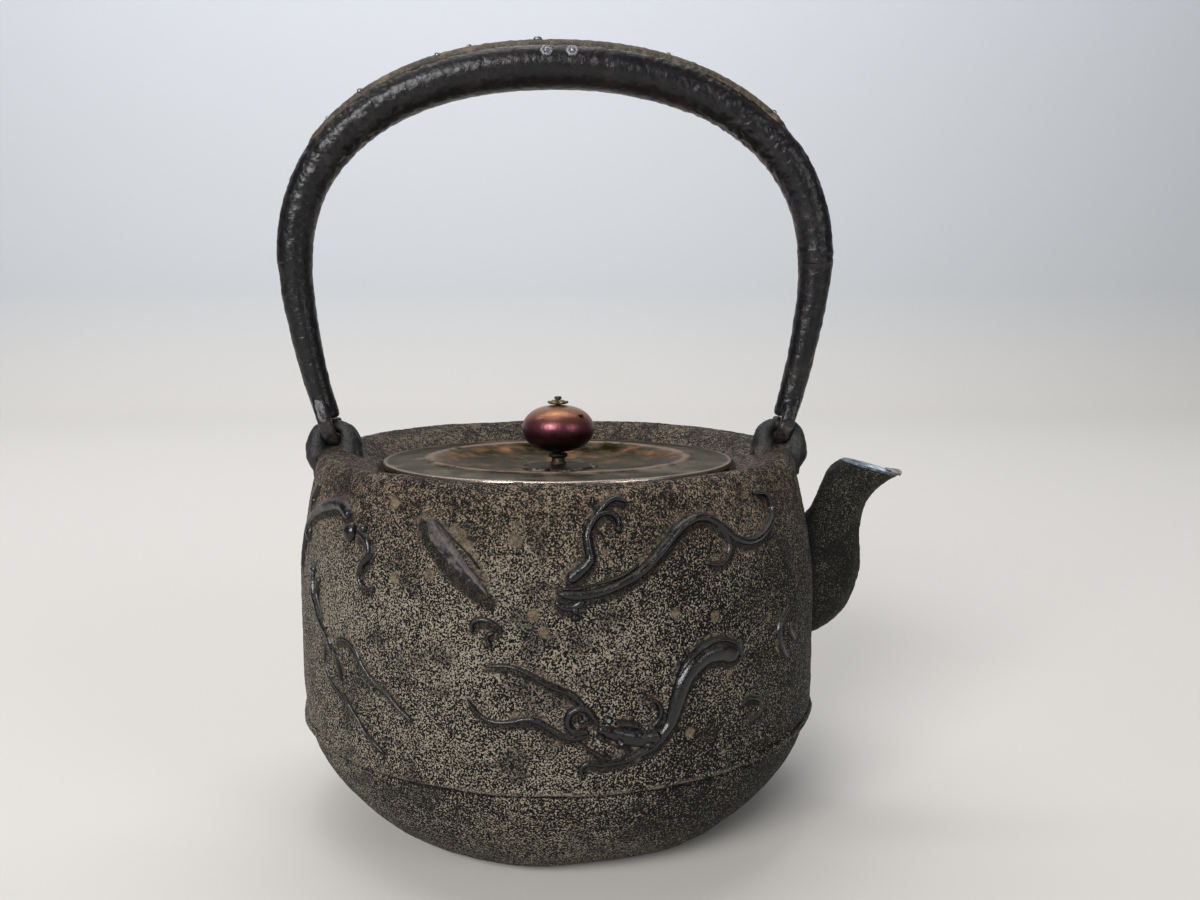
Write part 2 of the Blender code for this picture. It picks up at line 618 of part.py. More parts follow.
def half_shell(sign, steps):
    """Half of the hollow knob; sign is -1 for the lower half and +1 for the upper one."""
    seam = sign * GAP / 2
    outer, inner = [], []
    for i in range(steps):
        a = pi / 2 * i / steps
        swell = cos(a) ** 0.85
        outer.append((KNOB_R * swell, equator + seam + sign * (KNOB_HALF_HIGH - GAP / 2) * sin(a)))
        inner.append(((KNOB_R - KNOB_WALL) * swell,
                      equator + seam + sign * (KNOB_HALF_HIGH - KNOB_WALL) * sin(a)))
    pole_out = equator + sign * KNOB_HALF_HIGH
    pole_in = equator + sign * (KNOB_HALF_HIGH - KNOB_WALL)
    return outer + [(PIN_HOLE_R, pole_out), (PIN_HOLE_R, pole_in)] + list(reversed(inner))


add_object("knob_lower_shell", turned(half_shell(-1, 6), KNOB_SIDES, TIPPED), COPPER, lid_axis)
upper_shell = add_object("knob_upper_shell", turned(half_shell(1, 6), KNOB_SIDES, TIPPED), COPPER, lid_axis)

vent_tilt = Matrix.Rotation(VENT_TURN, 4, "Z") @ Matrix.Rotation(VENT_LEAN, 4, "Y")
vent_frame = TIPPED @ Matrix.Translation((0, 0, equator)) @ vent_tilt
vent_outline = [(0, KNOB_R * 0.5), (VENT_R, KNOB_R * 0.5), (VENT_R, KNOB_R * 1.2), (0, KNOB_R * 1.2)]
cut(upper_shell, add_object("vent_cutter", turned(vent_outline, 12, vent_frame), COPPER, lid_axis))

flower_base = equator + KNOB_HALF_HIGH + GAP
petal_plate(FLOWER_R, PIN_HOLE_R, FLOWER_THICK, flower_base, 6, 0.22, 36, BRASS, "knob_top_flower", lid_axis)

clinch_top = -DISH_DEEP - LID_THICK - GAP
clinch_low = clinch_top - CLINCH_THICK
clinch_outline = [(PIN_HOLE_R, clinch_top), (PIN_HOLE_R, clinch_low), (CLINCH_R, clinch_low),
                  (CLINCH_R, clinch_top)]
add_object("knob_clinch_washer", turned(clinch_outline, KNOB_SIDES, TIPPED), SEAT_METAL, lid_axis)

pin_low = clinch_low - GAP
pin_high = flower_base + FLOWER_THICK + GAP
head = [(r, pin_high + z) for r, z in [(PIN_HEAD_R, 0)] + dome(PIN_HEAD_R, 0.8 * MM, 3)]
pin_outline = [(0, pin_low - MM), (PIN_HOLE_R + 0.3 * MM, pin_low - MM), (PIN_HOLE_R + 0.5 * MM, pin_low),
               (PIN_R, pin_low), (PIN_R, pin_high)] + head
add_object("knob_pin", turned(pin_outline, 16, TIPPED), SEAT_METAL, lid_axis)
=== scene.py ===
from math import cos, hypot, pi, radians, sin, sqrt

import bmesh
import bpy
import numpy as np
from mathutils import Matrix, Vector, noise


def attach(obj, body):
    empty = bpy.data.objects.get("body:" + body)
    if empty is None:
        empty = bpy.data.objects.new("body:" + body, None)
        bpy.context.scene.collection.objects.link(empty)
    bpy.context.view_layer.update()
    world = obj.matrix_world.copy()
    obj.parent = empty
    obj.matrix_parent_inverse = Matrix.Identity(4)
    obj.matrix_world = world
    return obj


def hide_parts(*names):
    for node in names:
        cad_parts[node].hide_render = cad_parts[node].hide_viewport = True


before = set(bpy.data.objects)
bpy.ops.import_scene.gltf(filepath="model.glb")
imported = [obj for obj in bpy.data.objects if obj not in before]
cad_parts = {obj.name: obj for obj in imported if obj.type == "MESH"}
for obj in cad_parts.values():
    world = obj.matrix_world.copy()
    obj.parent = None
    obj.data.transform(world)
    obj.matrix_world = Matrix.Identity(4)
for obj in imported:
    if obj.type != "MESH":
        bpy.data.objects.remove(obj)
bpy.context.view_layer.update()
MM = 0.001


# ------------------------------------------------------------------ studio
# Pale paper sweep and a camera a little above the lid. The main light is a low window at the
# front left. Weak ones hang overhead and at the right, and a long one washes the backdrop.
CAMERA_BACK, CAMERA_HIGH = 0.37125, 0.16934
CAMERA_PITCH, CAMERA_YAW = radians(8.143), radians(2.10)


def in_scene(name, data):
    """New object in the scene's collection."""
    made = bpy.data.objects.new(name, data)
    bpy.context.collection.objects.link(made)
    return made


lens = bpy.data.cameras.new("studio_camera")
lens.sensor_width, lens.lens, lens.clip_start = 36, 34.5, 0.01
camera = in_scene("studio_camera", lens)
camera.location = (0, -CAMERA_BACK, CAMERA_HIGH)
camera.rotation_euler = (pi / 2 - CAMERA_PITCH, 0, -CAMERA_YAW)
bpy.context.scene.camera = camera


class Shade:
    """A shader value. Sums and products of shades and numbers add Math nodes to its material."""

    def __init__(self, tree, socket=None):
        self.tree = tree
        self.socket = socket

    def plug(self, target, value):
        """Link a shade to a socket, or set the socket's own number or colour."""
        if isinstance(value, Shade):
            self.tree.links.new(value.socket, target)
        elif isinstance(value, tuple) and len(target.default_value) == 4:
            target.default_value = (*value, 1)
        else:
            target.default_value = value

    def node(self, kind, settings=None, output=0, **sockets):
        """Add a node: its settings first, then its sockets by name, or by number as i0, i1."""
        made = self.tree.nodes.new("ShaderNode" + kind)
        for key, value in (settings or {}).items():
            if key == "stops":
                stops = made.color_ramp.elements
                while len(stops) < len(value):
                    stops.new(0.5)
                for stop, (place, colour) in zip(stops, value):
                    stop.position = place
                    stop.color = (*colour, 1)
            else:
                setattr(made, key, value)
        for key, value in sockets.items():
            spot = int(key[1:]) if key[0] == "i" and key[1:].isdigit() else key.replace("_", " ")
            self.plug(made.inputs[spot], value)
        return Shade(self.tree, made.outputs[output])

    def maths(self, operation, *values):
        sockets = {f"i{n}": value for n, value in enumerate(values)}
        return self.node("Math", {"operation": operation}, **sockets)

    def __add__(self, other):
        return self.maths("ADD", self, other)

    def __sub__(self, other):
        return self.maths("SUBTRACT", self, other)

    def __rsub__(self, other):
        return self.maths("SUBTRACT", other, self)

    def __mul__(self, other):
        return self.maths("MULTIPLY", self, other)

    def between(self, low, high):
        """0 under low, 1 over high and smooth in between."""
        return self.node("MapRange", {"interpolation_type": "SMOOTHSTEP"}, Value=self,
                         From_Min=low, From_Max=high)

    __radd__ = __add__
    __rmul__ = __mul__


class Finish(Shade):
    """Node material of one surface; constants go straight to the shader's sockets."""

    def __init__(self, name, **constants):
        material = bpy.data.materials.new(name)
        material.use_nodes = True
        super().__init__(material.node_tree)
        self.material = material
        self.shader = material.node_tree.nodes["Principled BSDF"]
        self.where = self.node("TexCoord", output=3)
        for key, value in constants.items():
            self.plug(self.shader.inputs[key.replace("_", " ")], value)

    def noise(self, size_mm, detail=2.0, roughness=0.5, distortion=0.0):
        """Even noise with patches of about the given size."""
        return self.node("TexNoise", Vector=self.where, Scale=1 / (size_mm * MM), Detail=detail,
                         Roughness=roughness, Distortion=distortion)

    def height(self):
        """Height over the floor in millimetres."""
        return self.node("SeparateXYZ", output=2, Vector=self.where) * (1 / MM)

    def radius(self):
        """Distance from the upright axis in millimetres."""
        level = self.node("Mapping", Vector=self.where, Scale=(1, 1, 0))
        return self.node("VectorMath", {"operation": "LENGTH"}, output=1, i0=level) * (1 / MM)

    def mix(self, amount, under, over):
        return self.node("Mix", {"data_type": "RGBA"}, output=2, i0=amount, i6=under, i7=over)

    def ramp(self, value, *stops):
        return self.node("ValToRGB", {"stops": stops}, Fac=value)

    def facing_up(self):
        """Upward share of the surface's own normal, -1 to 1."""
        return self.node("SeparateXYZ", output=2, Vector=self.node("TexCoord", output=1))

    def painted(self, name):
        """Value stored with the mesh's own points."""
        return self.node("Attribute", {"attribute_name": name}, output=2)

    def finish(self, colour, roughness, metallic=None, bump=None, bump_mm=0.1):
        """Plug in what varies over the surface and return the material."""
        for socket, value in (("Base Color", colour), ("Roughness", roughness), ("Metallic", metallic)):
            if value is not None:
                self.plug(self.shader.inputs[socket], value)
        if bump is not None:
            normal = self.node("Bump", Height=bump, Strength=1.0, Distance=bump_mm * MM)
            self.plug(self.shader.inputs["Normal"], normal)
        return self.material


def soft_light(name, where, aim, size, power, colour=(1, 1, 1)):
    lamp = bpy.data.lights.new(name, "AREA")
    lamp.shape = "RECTANGLE"
    lamp.size, lamp.size_y = size
    lamp.energy = power
    lamp.color = colour
    holder = in_scene(name, lamp)
    holder.location = where
    holder.rotation_euler = (Vector(aim) - Vector(where)).to_track_quat("-Z", "Y").to_euler()


soft_light("overhead", (-0.15, 0.1, 1.5), (0, 0, 0.1), (1.0, 0.7), 5)
soft_light("front_window", (-0.75, -1.5, 0.95), (0, 0, 0.03), (0.9, 0.6), 32, (0.98, 0.99, 1))
soft_light("right_fill", (1.3, -1.3, 0.7), (0, 0, 0.0), (0.6, 0.6), 6)
soft_light("backdrop_wash", (-0.3, 0.5, 1.7), (-0.3, 1.7, 0.5), (2.4, 0.5), 24, (0.95, 0.97, 1))

world = bpy.data.worlds.new("studio_air")
world.use_nodes = True
air = world.node_tree.nodes["Background"].inputs
air["Color"].default_value = (0.86, 0.90, 0.96, 1)
air["Strength"].default_value = 0.13
bpy.context.scene.world = world
bpy.context.scene.view_settings.view_transform = "Standard"


def paper_sweep():
    """Floor that curves up into the backdrop, with its colours by height in metres: warm on the floor, a
    greyer band of painted shade where it turns up, paler and bluer higher.
    """
    half_wide, front, turn, bend, high, steps = 3.0, -1.6, 1.1, 0.7, 2.6, 16
    outline = [(front, 0), (turn, 0)]
    for a in np.linspace(0, pi / 2, steps + 1)[1:]:
        outline.append((turn + bend * sin(a), bend - bend * cos(a)))
    outline.append((turn + bend, high))
    points = [(x, y, z) for y, z in outline for x in (-half_wide, half_wide)]
    faces = [(i, i + 1, i + 3, i + 2) for i in range(0, len(points) - 2, 2)]
    mesh = bpy.data.meshes.new("paper_sweep")
    mesh.from_pydata(points, [], faces)
    mesh.shade_smooth()
    sweep = in_scene("paper_sweep", mesh)
    paper = Finish("paper")
    colour = paper.ramp(paper.height() * MM, (0.01, (0.69, 0.655, 0.612)), (0.16, (0.57, 0.577, 0.585)),
                        (0.80, (0.69, 0.71, 0.75)))
    mesh.materials.append(paper.finish(colour, roughness=0.86 + paper.noise(90, 3) * 0.02))


paper_sweep()


# ------------------------------------------------------------------ cast body
# Bowl and wall of one casting: thin grey iron poured in a two-part loam mould, whose joint left
# the ridge round the bowl. The wall barrels slightly and turns in at the shoulder to the lid's seat.
BASE_FLAT_R, BELLY_R, BELLY_Z = 48, 82.7, 56
PARTING_Z, PARTING_R, PARTING_RIDGE = 34.7, 81.3, 0.9
SHOULDER_Z, SHOULDER_R, CREST_R, CREST_Z = 111, 76.8, 72, 117.5
WALL, BOWL_WALL, BASE_THICK = 3.2, 0.8 * 3.2, 4.0
MOUTH_R, THROAT_R, LEDGE_Z, LEDGE_THICK, THROAT_LIP = 50, 57.6, 110.5, 4.2, 1.2
VAULT_WIDE, VAULT_RISE = 12, 2.5
FLOOR_R, HUB_R = 44, 4    # flat floor inside, and the fans that close base and floor


def bowl_r(z):
    return BASE_FLAT_R + (PARTING_R - BASE_FLAT_R) * (1 - (1 - z / PARTING_Z) ** 1.42) ** (1 / 1.79)


def wall_r(z):
    """Radius of the outside at a height, from the parting line to the crest."""
    if z > SHOULDER_Z:
        s = min((z - SHOULDER_Z) / (CREST_Z - SHOULDER_Z), 1)
        return CREST_R + (SHOULDER_R - CREST_R) * sqrt(1 - s * s)
    if z > BELLY_Z:
        return BELLY_R - (BELLY_R - SHOULDER_R) * ((z - BELLY_Z) / (SHOULDER_Z - BELLY_Z)) ** 2.9
    return BELLY_R - PARTING_RIDGE * ((BELLY_Z - z) / (BELLY_Z - PARTING_Z)) ** 2


def outside_r(z):
    return wall_r(z) if z > PARTING_Z else bowl_r(max(z, 0))


def outside_outline():
    """Points (r, z) up the outside and down the throat, in even steps."""
    points = [(r, 0.0) for r in np.linspace(HUB_R, BASE_FLAT_R, 9)[:-1]]
    points += [(bowl_r(z), z) for z in PARTING_Z * (1 - np.cos(np.linspace(0, pi / 2, 42)[:-1]))]
    lip = [(-0.45, -0.6), (-0.75, -0.1), (0.2, 0.3), (1.35, 0.7), (1.7, 1.2), (1.3, 1.8), (0.8, 2.2)]
    points += [(PARTING_R + out, PARTING_Z + up) for out, up in lip]
    points += [(wall_r(z), z) for z in np.linspace(PARTING_Z + 2.4, SHOULDER_Z, 74)]
    points += [(CREST_R + (SHOULDER_R - CREST_R) * cos(a), SHOULDER_Z + (CREST_Z - SHOULDER_Z) * sin(a))
               for a in np.linspace(0, pi / 2, 10)[1:]]
    fall = CREST_Z - LEDGE_Z - THROAT_LIP
    points += [(CREST_R + (THROAT_R - CREST_R) * s, CREST_Z - fall * s ** 1.4)
               for s in np.linspace(0, 1, 16)[1:]]
    return points


def inside_outline():
    """Seat for the lid, mouth, vault under the shoulder, inner wall and floor."""
    vault_z = LEDGE_Z - LEDGE_THICK
    points = [(THROAT_R, LEDGE_Z), (MOUTH_R + 0.6, LEDGE_Z), (MOUTH_R, LEDGE_Z - 0.6), (MOUTH_R, vault_z),
              (MOUTH_R + VAULT_WIDE, vault_z + VAULT_RISE), (CREST_R, LEDGE_Z - 0.5)]
    points += [(wall_r(z) - WALL, z) for z in np.linspace(105, PARTING_Z + 1, 6)]
    points += [(bowl_r(z) - BOWL_WALL, z + BASE_THICK * (1 - 0.9 * z / PARTING_Z))
               for z in np.linspace(26, 2, 6)]
    return points + [(FLOOR_R, BASE_THICK), (HUB_R, BASE_THICK)]


def on_wall(degrees, z, lift=0.0):
    """Point on the outside, degrees round from the front towards the spout, and its normal."""
    a = radians(degrees)
    slope = (outside_r(z + 0.2) - outside_r(z - 0.2)) / 0.4
    out = Vector((1, -slope)).normalized()
    radial = Vector((sin(a), -cos(a), 0))
    normal = radial * out.x + Vector((0, 0, 1)) * out.y
    return radial * outside_r(z) + Vector((0, 0, z)) + normal * lift, normal


def smooth_path(points, step=0.45):
    """Even points along a smooth curve through the given (degrees, height) points."""
    full = [points[0]] + list(points) + [points[-1]]
    dense = []
    for p0, p1, p2, p3 in zip(full, full[1:], full[2:], full[3:]):
        for t in np.linspace(0, 1, 24, endpoint=False):
            dense.append([0.5 * (2 * b + (c - a) * t + (2 * a - 5 * b + 4 * c - d) * t * t
                          + (3 * b - a - 3 * c + d) * t ** 3) for a, b, c, d in zip(p0, p1, p2, p3)])
    dense = np.array(dense + [points[-1]])
    round_mm = radians(1) * BELLY_R
    gone = np.r_[0, np.cumsum(np.hypot(np.diff(dense[:, 0]) * round_mm, np.diff(dense[:, 1])))]
    even = np.linspace(0, gone[-1], max(int(gone[-1] / step), 4))
    return np.stack([np.interp(even, gone, dense[:, 0]), np.interp(even, gone, dense[:, 1])], -1)


# Raised scrolls of the casting: flame and whisker strokes with a small generic beast's mask.
# Each stroke is its points (degrees round from the front, height), three half widths and how
# far it stands out.
FRONT_STROKES = [
    ([(-0.5, 90.4), (3.7, 89.8), (8, 90.6), (12, 92.6), (16, 95.6), (20, 100.4), (24, 105.2), (28, 107.4),
      (31, 106.9), (34, 104.3), (37, 100.9), (41, 99), (45, 99.8), (49, 102.6), (51, 106.5), (49.5, 110.2),
      (46, 111.6)], (1.5, 1.5, 0.8), 2.0),
    ([(33, 105), (35.3, 101.5), (35.2, 97.5), (33, 94.8), (29.8, 95.2)], (1.3, 0.9, 0.7), 1.5),
    ([(-0.6, 91.9), (2.6, 91.4), (6, 92.2), (11.4, 94.2), (15, 97)], (0.4, 0.6, 0.3), 1.7),
    ([(1.6, 93.6), (3.6, 95.6), (5.7, 98.6), (5.6, 102.1), (5.4, 105.3), (6.4, 108.2), (8, 110), (9.9, 110.4),
      (11.4, 109), (11.4, 106.6)], (1.9, 1.0, 0.7), 2.0),
    ([(6.8, 108.8), (8.6, 112), (11, 114), (13.5, 113)], (0.9, 0.8, 0.6), 1.3),
    ([(6.5, 112.3), (6.8, 115)], (0.5, 0.6, 0.4), 0.9),
    ([(-0.8, 88.3), (0.9, 86.8), (2.8, 86.9), (4.6, 88.4)], (0.8, 1.5, 0.9), 1.6),
    ([(2.6, 87), (3.2, 84.6)], (1.2, 1.1, 0.9), 1.5),
    ([(-15.8, 79.6), (-16, 81.9), (-14.6, 83.1), (-12.7, 82.8), (-11.2, 81.6), (-10.2, 80.2)],
     (0.7, 1.1, 0.4), 1.6),
    ([(-12.4, 76), (-13.2, 77.7), (-13, 79.2), (-11.6, 79.9)], (0.5, 0.9, 0.5), 1.4),
    ([(-14, 70.6), (-10.4, 71.1), (-7.6, 70.5), (-4.8, 68.6), (-1.7, 66), (1.4, 64.2), (3.2, 62.2),
      (5, 58.8), (7, 55.4)], (0.5, 0.75, 1.2), 1.3),
    ([(-17, 61.4), (-15.6, 58.8), (-14, 56.9), (-12, 55.8), (-9, 56), (-6.2, 56.9), (-4, 56.5), (-2, 54.8),
      (0, 52.8), (2.7, 51.8), (5, 52.3)], (0.5, 0.95, 1.0), 1.4),
    ([(6.6, 56.2), (5, 59.4), (3, 59.7), (1.6, 58), (1.5, 55.4), (2.8, 53.3), (5.3, 53.5)],
     (1.0, 1.2, 0.8), 2.0),
    ([(4.2, 58.2), (4.6, 56.7), (3.3, 55.9)], (0.8, 0.8, 0.6), 1.4),
    ([(6.8, 54.2), (9, 53.0), (12, 51.4), (15, 50.4), (18.5, 50.6)], (1.4, 2.9, 2.2), 2.4),
    ([(9.8, 55.3), (12.4, 55.0), (14.6, 53.9)], (0.6, 0.9, 0.6), 2.9),
    ([(4.1, 41.2), (3.8, 43.2), (5, 44.6), (8, 44.2), (11.6, 44.8), (15, 46.2), (17.6, 48), (20, 51)],
     (0.8, 1.0, 1.4), 1.9),
    ([(4.1, 49.6), (5.9, 47.9), (7.7, 46.1), (9.6, 45.6)], (0.5, 0.6, 0.4), 1.6),
    ([(17, 53), (18.4, 55), (18.8, 57.5), (18, 59.8), (16.6, 60.9)], (0.8, 0.7, 0.5), 1.5),
    ([(18.6, 49.4), (20.8, 54), (22.3, 60.3), (23.4, 64.5), (25.6, 68.2), (28.6, 70.5), (32, 70.9),
      (35.4, 69.4)], (1.6, 2.4, 3.4), 2.8),
    ([(21.9, 65.5), (23.6, 69.2), (26.4, 72.4), (29.5, 74.2), (33, 73.9), (35.8, 71.4), (36.6, 67.8)],
     (0.5, 0.9, 0.8), 2.2),
    ([(37, 53.5), (39.5, 55), (43, 53), (42.6, 49.6), (39.5, 48)], (0.6, 0.9, 0.5), 1.1),
    ([(53, 62), (50, 67.5), (50, 73), (54, 77.5)], (0.6, 1.1, 0.6), 1.2),
    ([(57, 66), (54, 70.5), (56, 74)], (0.5, 0.9, 0.5), 1.0),
]
LEFT_STROKES = [
    ([(-72, 84), (-70.5, 91), (-68.5, 98.5), (-63, 103.6), (-56, 107), (-51, 107.6), (-47.5, 105)],
     (0.8, 1.4, 2.2), 1.9),
    ([(-66, 111), (-68.5, 106), (-66, 102)], (0.8, 1.1, 0.7), 1.4),
    ([(-44, 102), (-41, 100), (-40, 96.5), (-42, 92.7), (-42, 89), (-40.4, 87), (-38.4, 87.3)],
     (1.5, 1.0, 0.7), 1.7),
    ([(-61.5, 87), (-60.5, 81), (-58, 76.5), (-55.5, 73), (-52.5, 70), (-51, 67)], (0.5, 1.6, 1.3), 1.7),
    ([(-58, 84.5), (-58.2, 80), (-55, 74.5), (-53, 71)], (0.5, 0.8, 0.8), 1.3),
    ([(-49.3, 66), (-48.6, 62.5), (-48, 58.5)], (1.3, 0.8, 0.3), 1.5),
    ([(-49.5, 70), (-46, 71.3), (-43, 69.5), (-41, 65.5), (-38, 61.7), (-34, 58.8), (-31.5, 55.8),
      (-28.5, 53)], (0.7, 0.9, 0.5), 1.2),
    ([(-54, 68), (-54.3, 62), (-52, 57.3), (-47.5, 54), (-44, 50.3), (-41, 46), (-36, 41.5)],
     (0.5, 0.75, 0.4), 1.0),
]
# Beads, eyes and knuckles: degrees, height, half width, half height, how far they stand out.
FRONT_BEADS = [(8.6, 56.2, 1.5, 1.4, 1.7), (10.8, 50.6, 1.3, 1.1, 3.1), (14.4, 52.0, 1.5, 1.1, 3.3),
               (7.4, 51.8, 1.4, 0.9, 2.4), (16.4, 48.8, 2.0, 1.3, 2.9),
               (46, 111.6, 1.3, 0.9, 1.5), (2.9, 84.2, 1.3, 1.1, 1.6), (29.6, 95.4, 1.1, 0.8, 1.4),
               (11.4, 106.2, 1.0, 0.9, 1.5), (4.6, 57, 1.2, 1.0, 1.5)]
LEFT_BEADS = [(-47, 101.3, 2.6, 2.9, 2.0), (-42.4, 103, 1.3, 1.3, 1.7), (-38.4, 87.2, 1.1, 1.0, 1.3),
              (-61.3, 87, 1.2, 1.1, 1.3), (-58, 84.6, 1.1, 1.0, 1.2), (-49.6, 66.2, 2.0, 1.5, 1.4),
              (-67, 96, 1.5, 2.5, 1.6)]
EYES = [(8.8, 56.3, 0.75, 0.7, 2.3), (10.9, 50.4, 0.75, 0.65, 3.6)]
LEAF = [(-26.4, 108), (-23.9, 103.6), (-20.6, 98.6), (-17.2, 94), (-14.2, 90.2), (-12.4, 87.6)]
LEAF_GROOVE = [(-24.8, 107.9), (-22.4, 105.5), (-20.4, 103.4), (-18.4, 101.2), (-16.5, 98.9), (-14.6, 96)]
FAR_SIDE = 188


def turned_over(strokes):
    """The same strokes on the far side of the kettle, running the other way round."""
    return [([(FAR_SIDE - a, z) for a, z in points], *rest) for points, *rest in strokes]


def turned_beads(beads):
    return [(FAR_SIDE - a, *rest) for a, *rest in beads]


STROKES = FRONT_STROKES + LEFT_STROKES + turned_over(FRONT_STROKES[:21] + LEFT_STROKES)
BEADS = FRONT_BEADS + LEFT_BEADS
BEADS += turned_beads(BEADS)
EYES += turned_beads(EYES)
LEAVES = [(LEAF, (2.8, 4.9, 1.2), 1.9)]
LEAVES += turned_over(LEAVES)
GROOVES = [(LEAF_GROOVE, (0.35, 0.45, 0.3), 2.3)]
GROOVES += turned_over(GROOVES)


def wide_at(widths, s):
    """Half width along a stroke: three values joined smoothly, closing at both tips."""
    first, middle, last = widths
    body = first * (1 - s) ** 2 + middle * 2.2 * s * (1 - s) + last * s ** 2
    tip = min(1, s / 0.05, (1 - s) / 0.05)
    return max(body, 0.25) * sqrt(max(1 - (1 - tip) ** 2, 0.02))


SIDES = 520
RELIEF_FLOOR, RELIEF_ROWS = 36, 145    # the relief stays over this height and ends in the throat
outer = np.array(outside_outline())
outline = np.concatenate([outer, inside_outline()])
row = np.arange(len(outline))[:, None]
heights = np.repeat(outline[:, 1:], SIDES, 1)
degrees_round = np.repeat(np.linspace(0, 360, SIDES, endpoint=False)[None], len(outline), 0)
is_skin = (row < len(outer) - 2) & (heights > 0.3)
on_side = is_skin & (heights > RELIEF_FLOOR) & (row < RELIEF_ROWS)


def round_to(degrees):
    """Way round the wall from each point of the grid to an angle, in millimetres."""
    return ((degrees_round - degrees + 180) % 360 - 180) * radians(1) * BELLY_R


# The wall swells a little towards each stroke; dirt gathers beside it, and painted shadow lies under it.
raise_mm, near, under = np.zeros((3, *heights.shape))
for points, widths, stand in STROKES + LEAVES:
    path = smooth_path(points, 1.2)
    for i, (a, z) in enumerate(path):
        half = wide_at(widths, i / (len(path) - 1))
        around = round_to(a)
        pick = np.ix_(np.abs(outline[:, 1] - z) < 12, np.abs(around[0]) < 12)
        away = np.hypot(around[pick], heights[pick] - z) - half
        swell = 0.45 * min(half, 1.8) * np.exp(-np.maximum(away, 0) / 1.3)
        raise_mm[pick] = np.maximum(raise_mm[pick], swell)
        near[pick] = np.maximum(near[pick], np.clip(1 - away / 3.0, 0, 1) * min(half + 0.4, 1.5) / 1.5)
        below = np.hypot(around[pick] - 0.4, heights[pick] - z + 1.3) - half
        under[pick] = np.maximum(under[pick], np.clip(1 - below / 0.9, 0, 1) * (heights[pick] < z + 0.3))
near *= on_side

slope = np.gradient(outline, axis=0)
slope /= np.hypot(slope[:, 0], slope[:, 1])[:, None] + 1e-9
out_r, out_z = slope[:, 1:], -slope[:, :1]
turn_by = np.radians(degrees_round)
radius = np.repeat(outline[:, :1], SIDES, 1)
round_shape = np.stack([radius * np.sin(turn_by), -radius * np.cos(turn_by), heights], -1)
fade = np.clip((len(outer) - 4 - row) / 6, 0, 1) * np.clip(heights / 3, 0, 1)
rough, uneven = np.zeros((2, *heights.shape))
for spot in np.ndindex(len(outer), SIDES):
    p = Vector(round_shape[spot])
    rough[spot] = noise.noise(p * 0.75) * 0.14 + noise.noise(p * 0.34) * 0.12
    uneven[spot] = noise.noise(p * 0.035) * 0.7 + noise.noise(p * 0.09 + Vector((7, 3, 1))) * 0.25
push = (rough * np.clip(1 - near * 1.3, 0.15, 1) + uneven) * fade * is_skin + raise_mm * on_side
reach = radius + push * out_r
solid = np.stack([reach * np.sin(turn_by), -reach * np.cos(turn_by), heights + push * out_z], -1)


def grid_mesh(name, rows, wrap_rows=False):
    """Mesh of rings with equally many points; fans close its ends, unless the rows form a loop."""
    rows = np.asarray(rows, float)
    count, around = rows.shape[:2]
    points = rows.reshape(-1, 3)
    index = np.arange(count * around).reshape(count, around)
    if wrap_rows:
        index = np.concatenate([index, index[:1]])
    ahead = np.roll(index, -1, 1)
    faces = np.stack([index[:-1], ahead[:-1], ahead[1:], index[1:]], -1).reshape(-1, 4).tolist()
    if not wrap_rows:
        low, high = len(points), len(points) + 1
        points = np.concatenate([points, [rows[0].mean(0)], [rows[-1].mean(0)]])
        faces += [(b, a, low) for a, b in zip(index[0].tolist(), ahead[0].tolist())]
        faces += [(a, b, high) for a, b in zip(index[-1].tolist(), ahead[-1].tolist())]
    mesh = bpy.data.meshes.new(name)
    mesh.from_pydata((points * MM).tolist(), [], faces)
    mesh.validate()
    bm = bmesh.new()
    bm.from_mesh(mesh)
    bmesh.ops.recalc_face_normals(bm, faces=bm.faces)
    bm.to_mesh(mesh)
    bm.free()
    mesh.shade_smooth()
    return mesh


def paint(mesh, name, values):
    """Store a value with each point of a grid mesh; the middles of its fans get 0."""
    full = np.zeros(len(mesh.vertices), np.float32)
    full[:values.size] = values.ravel()
    mesh.attributes.new(name, "FLOAT", "POINT").data.foreach_set("value", full)


def piece(name, mesh, material, body, slot, *nodes):
    """Put a finished mesh on its body and let it stand for CAD nodes."""
    mesh.materials.clear()
    mesh.materials.append(material)
    made = in_scene(name, mesh)
    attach(made, body)
    if nodes:
        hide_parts(*nodes)


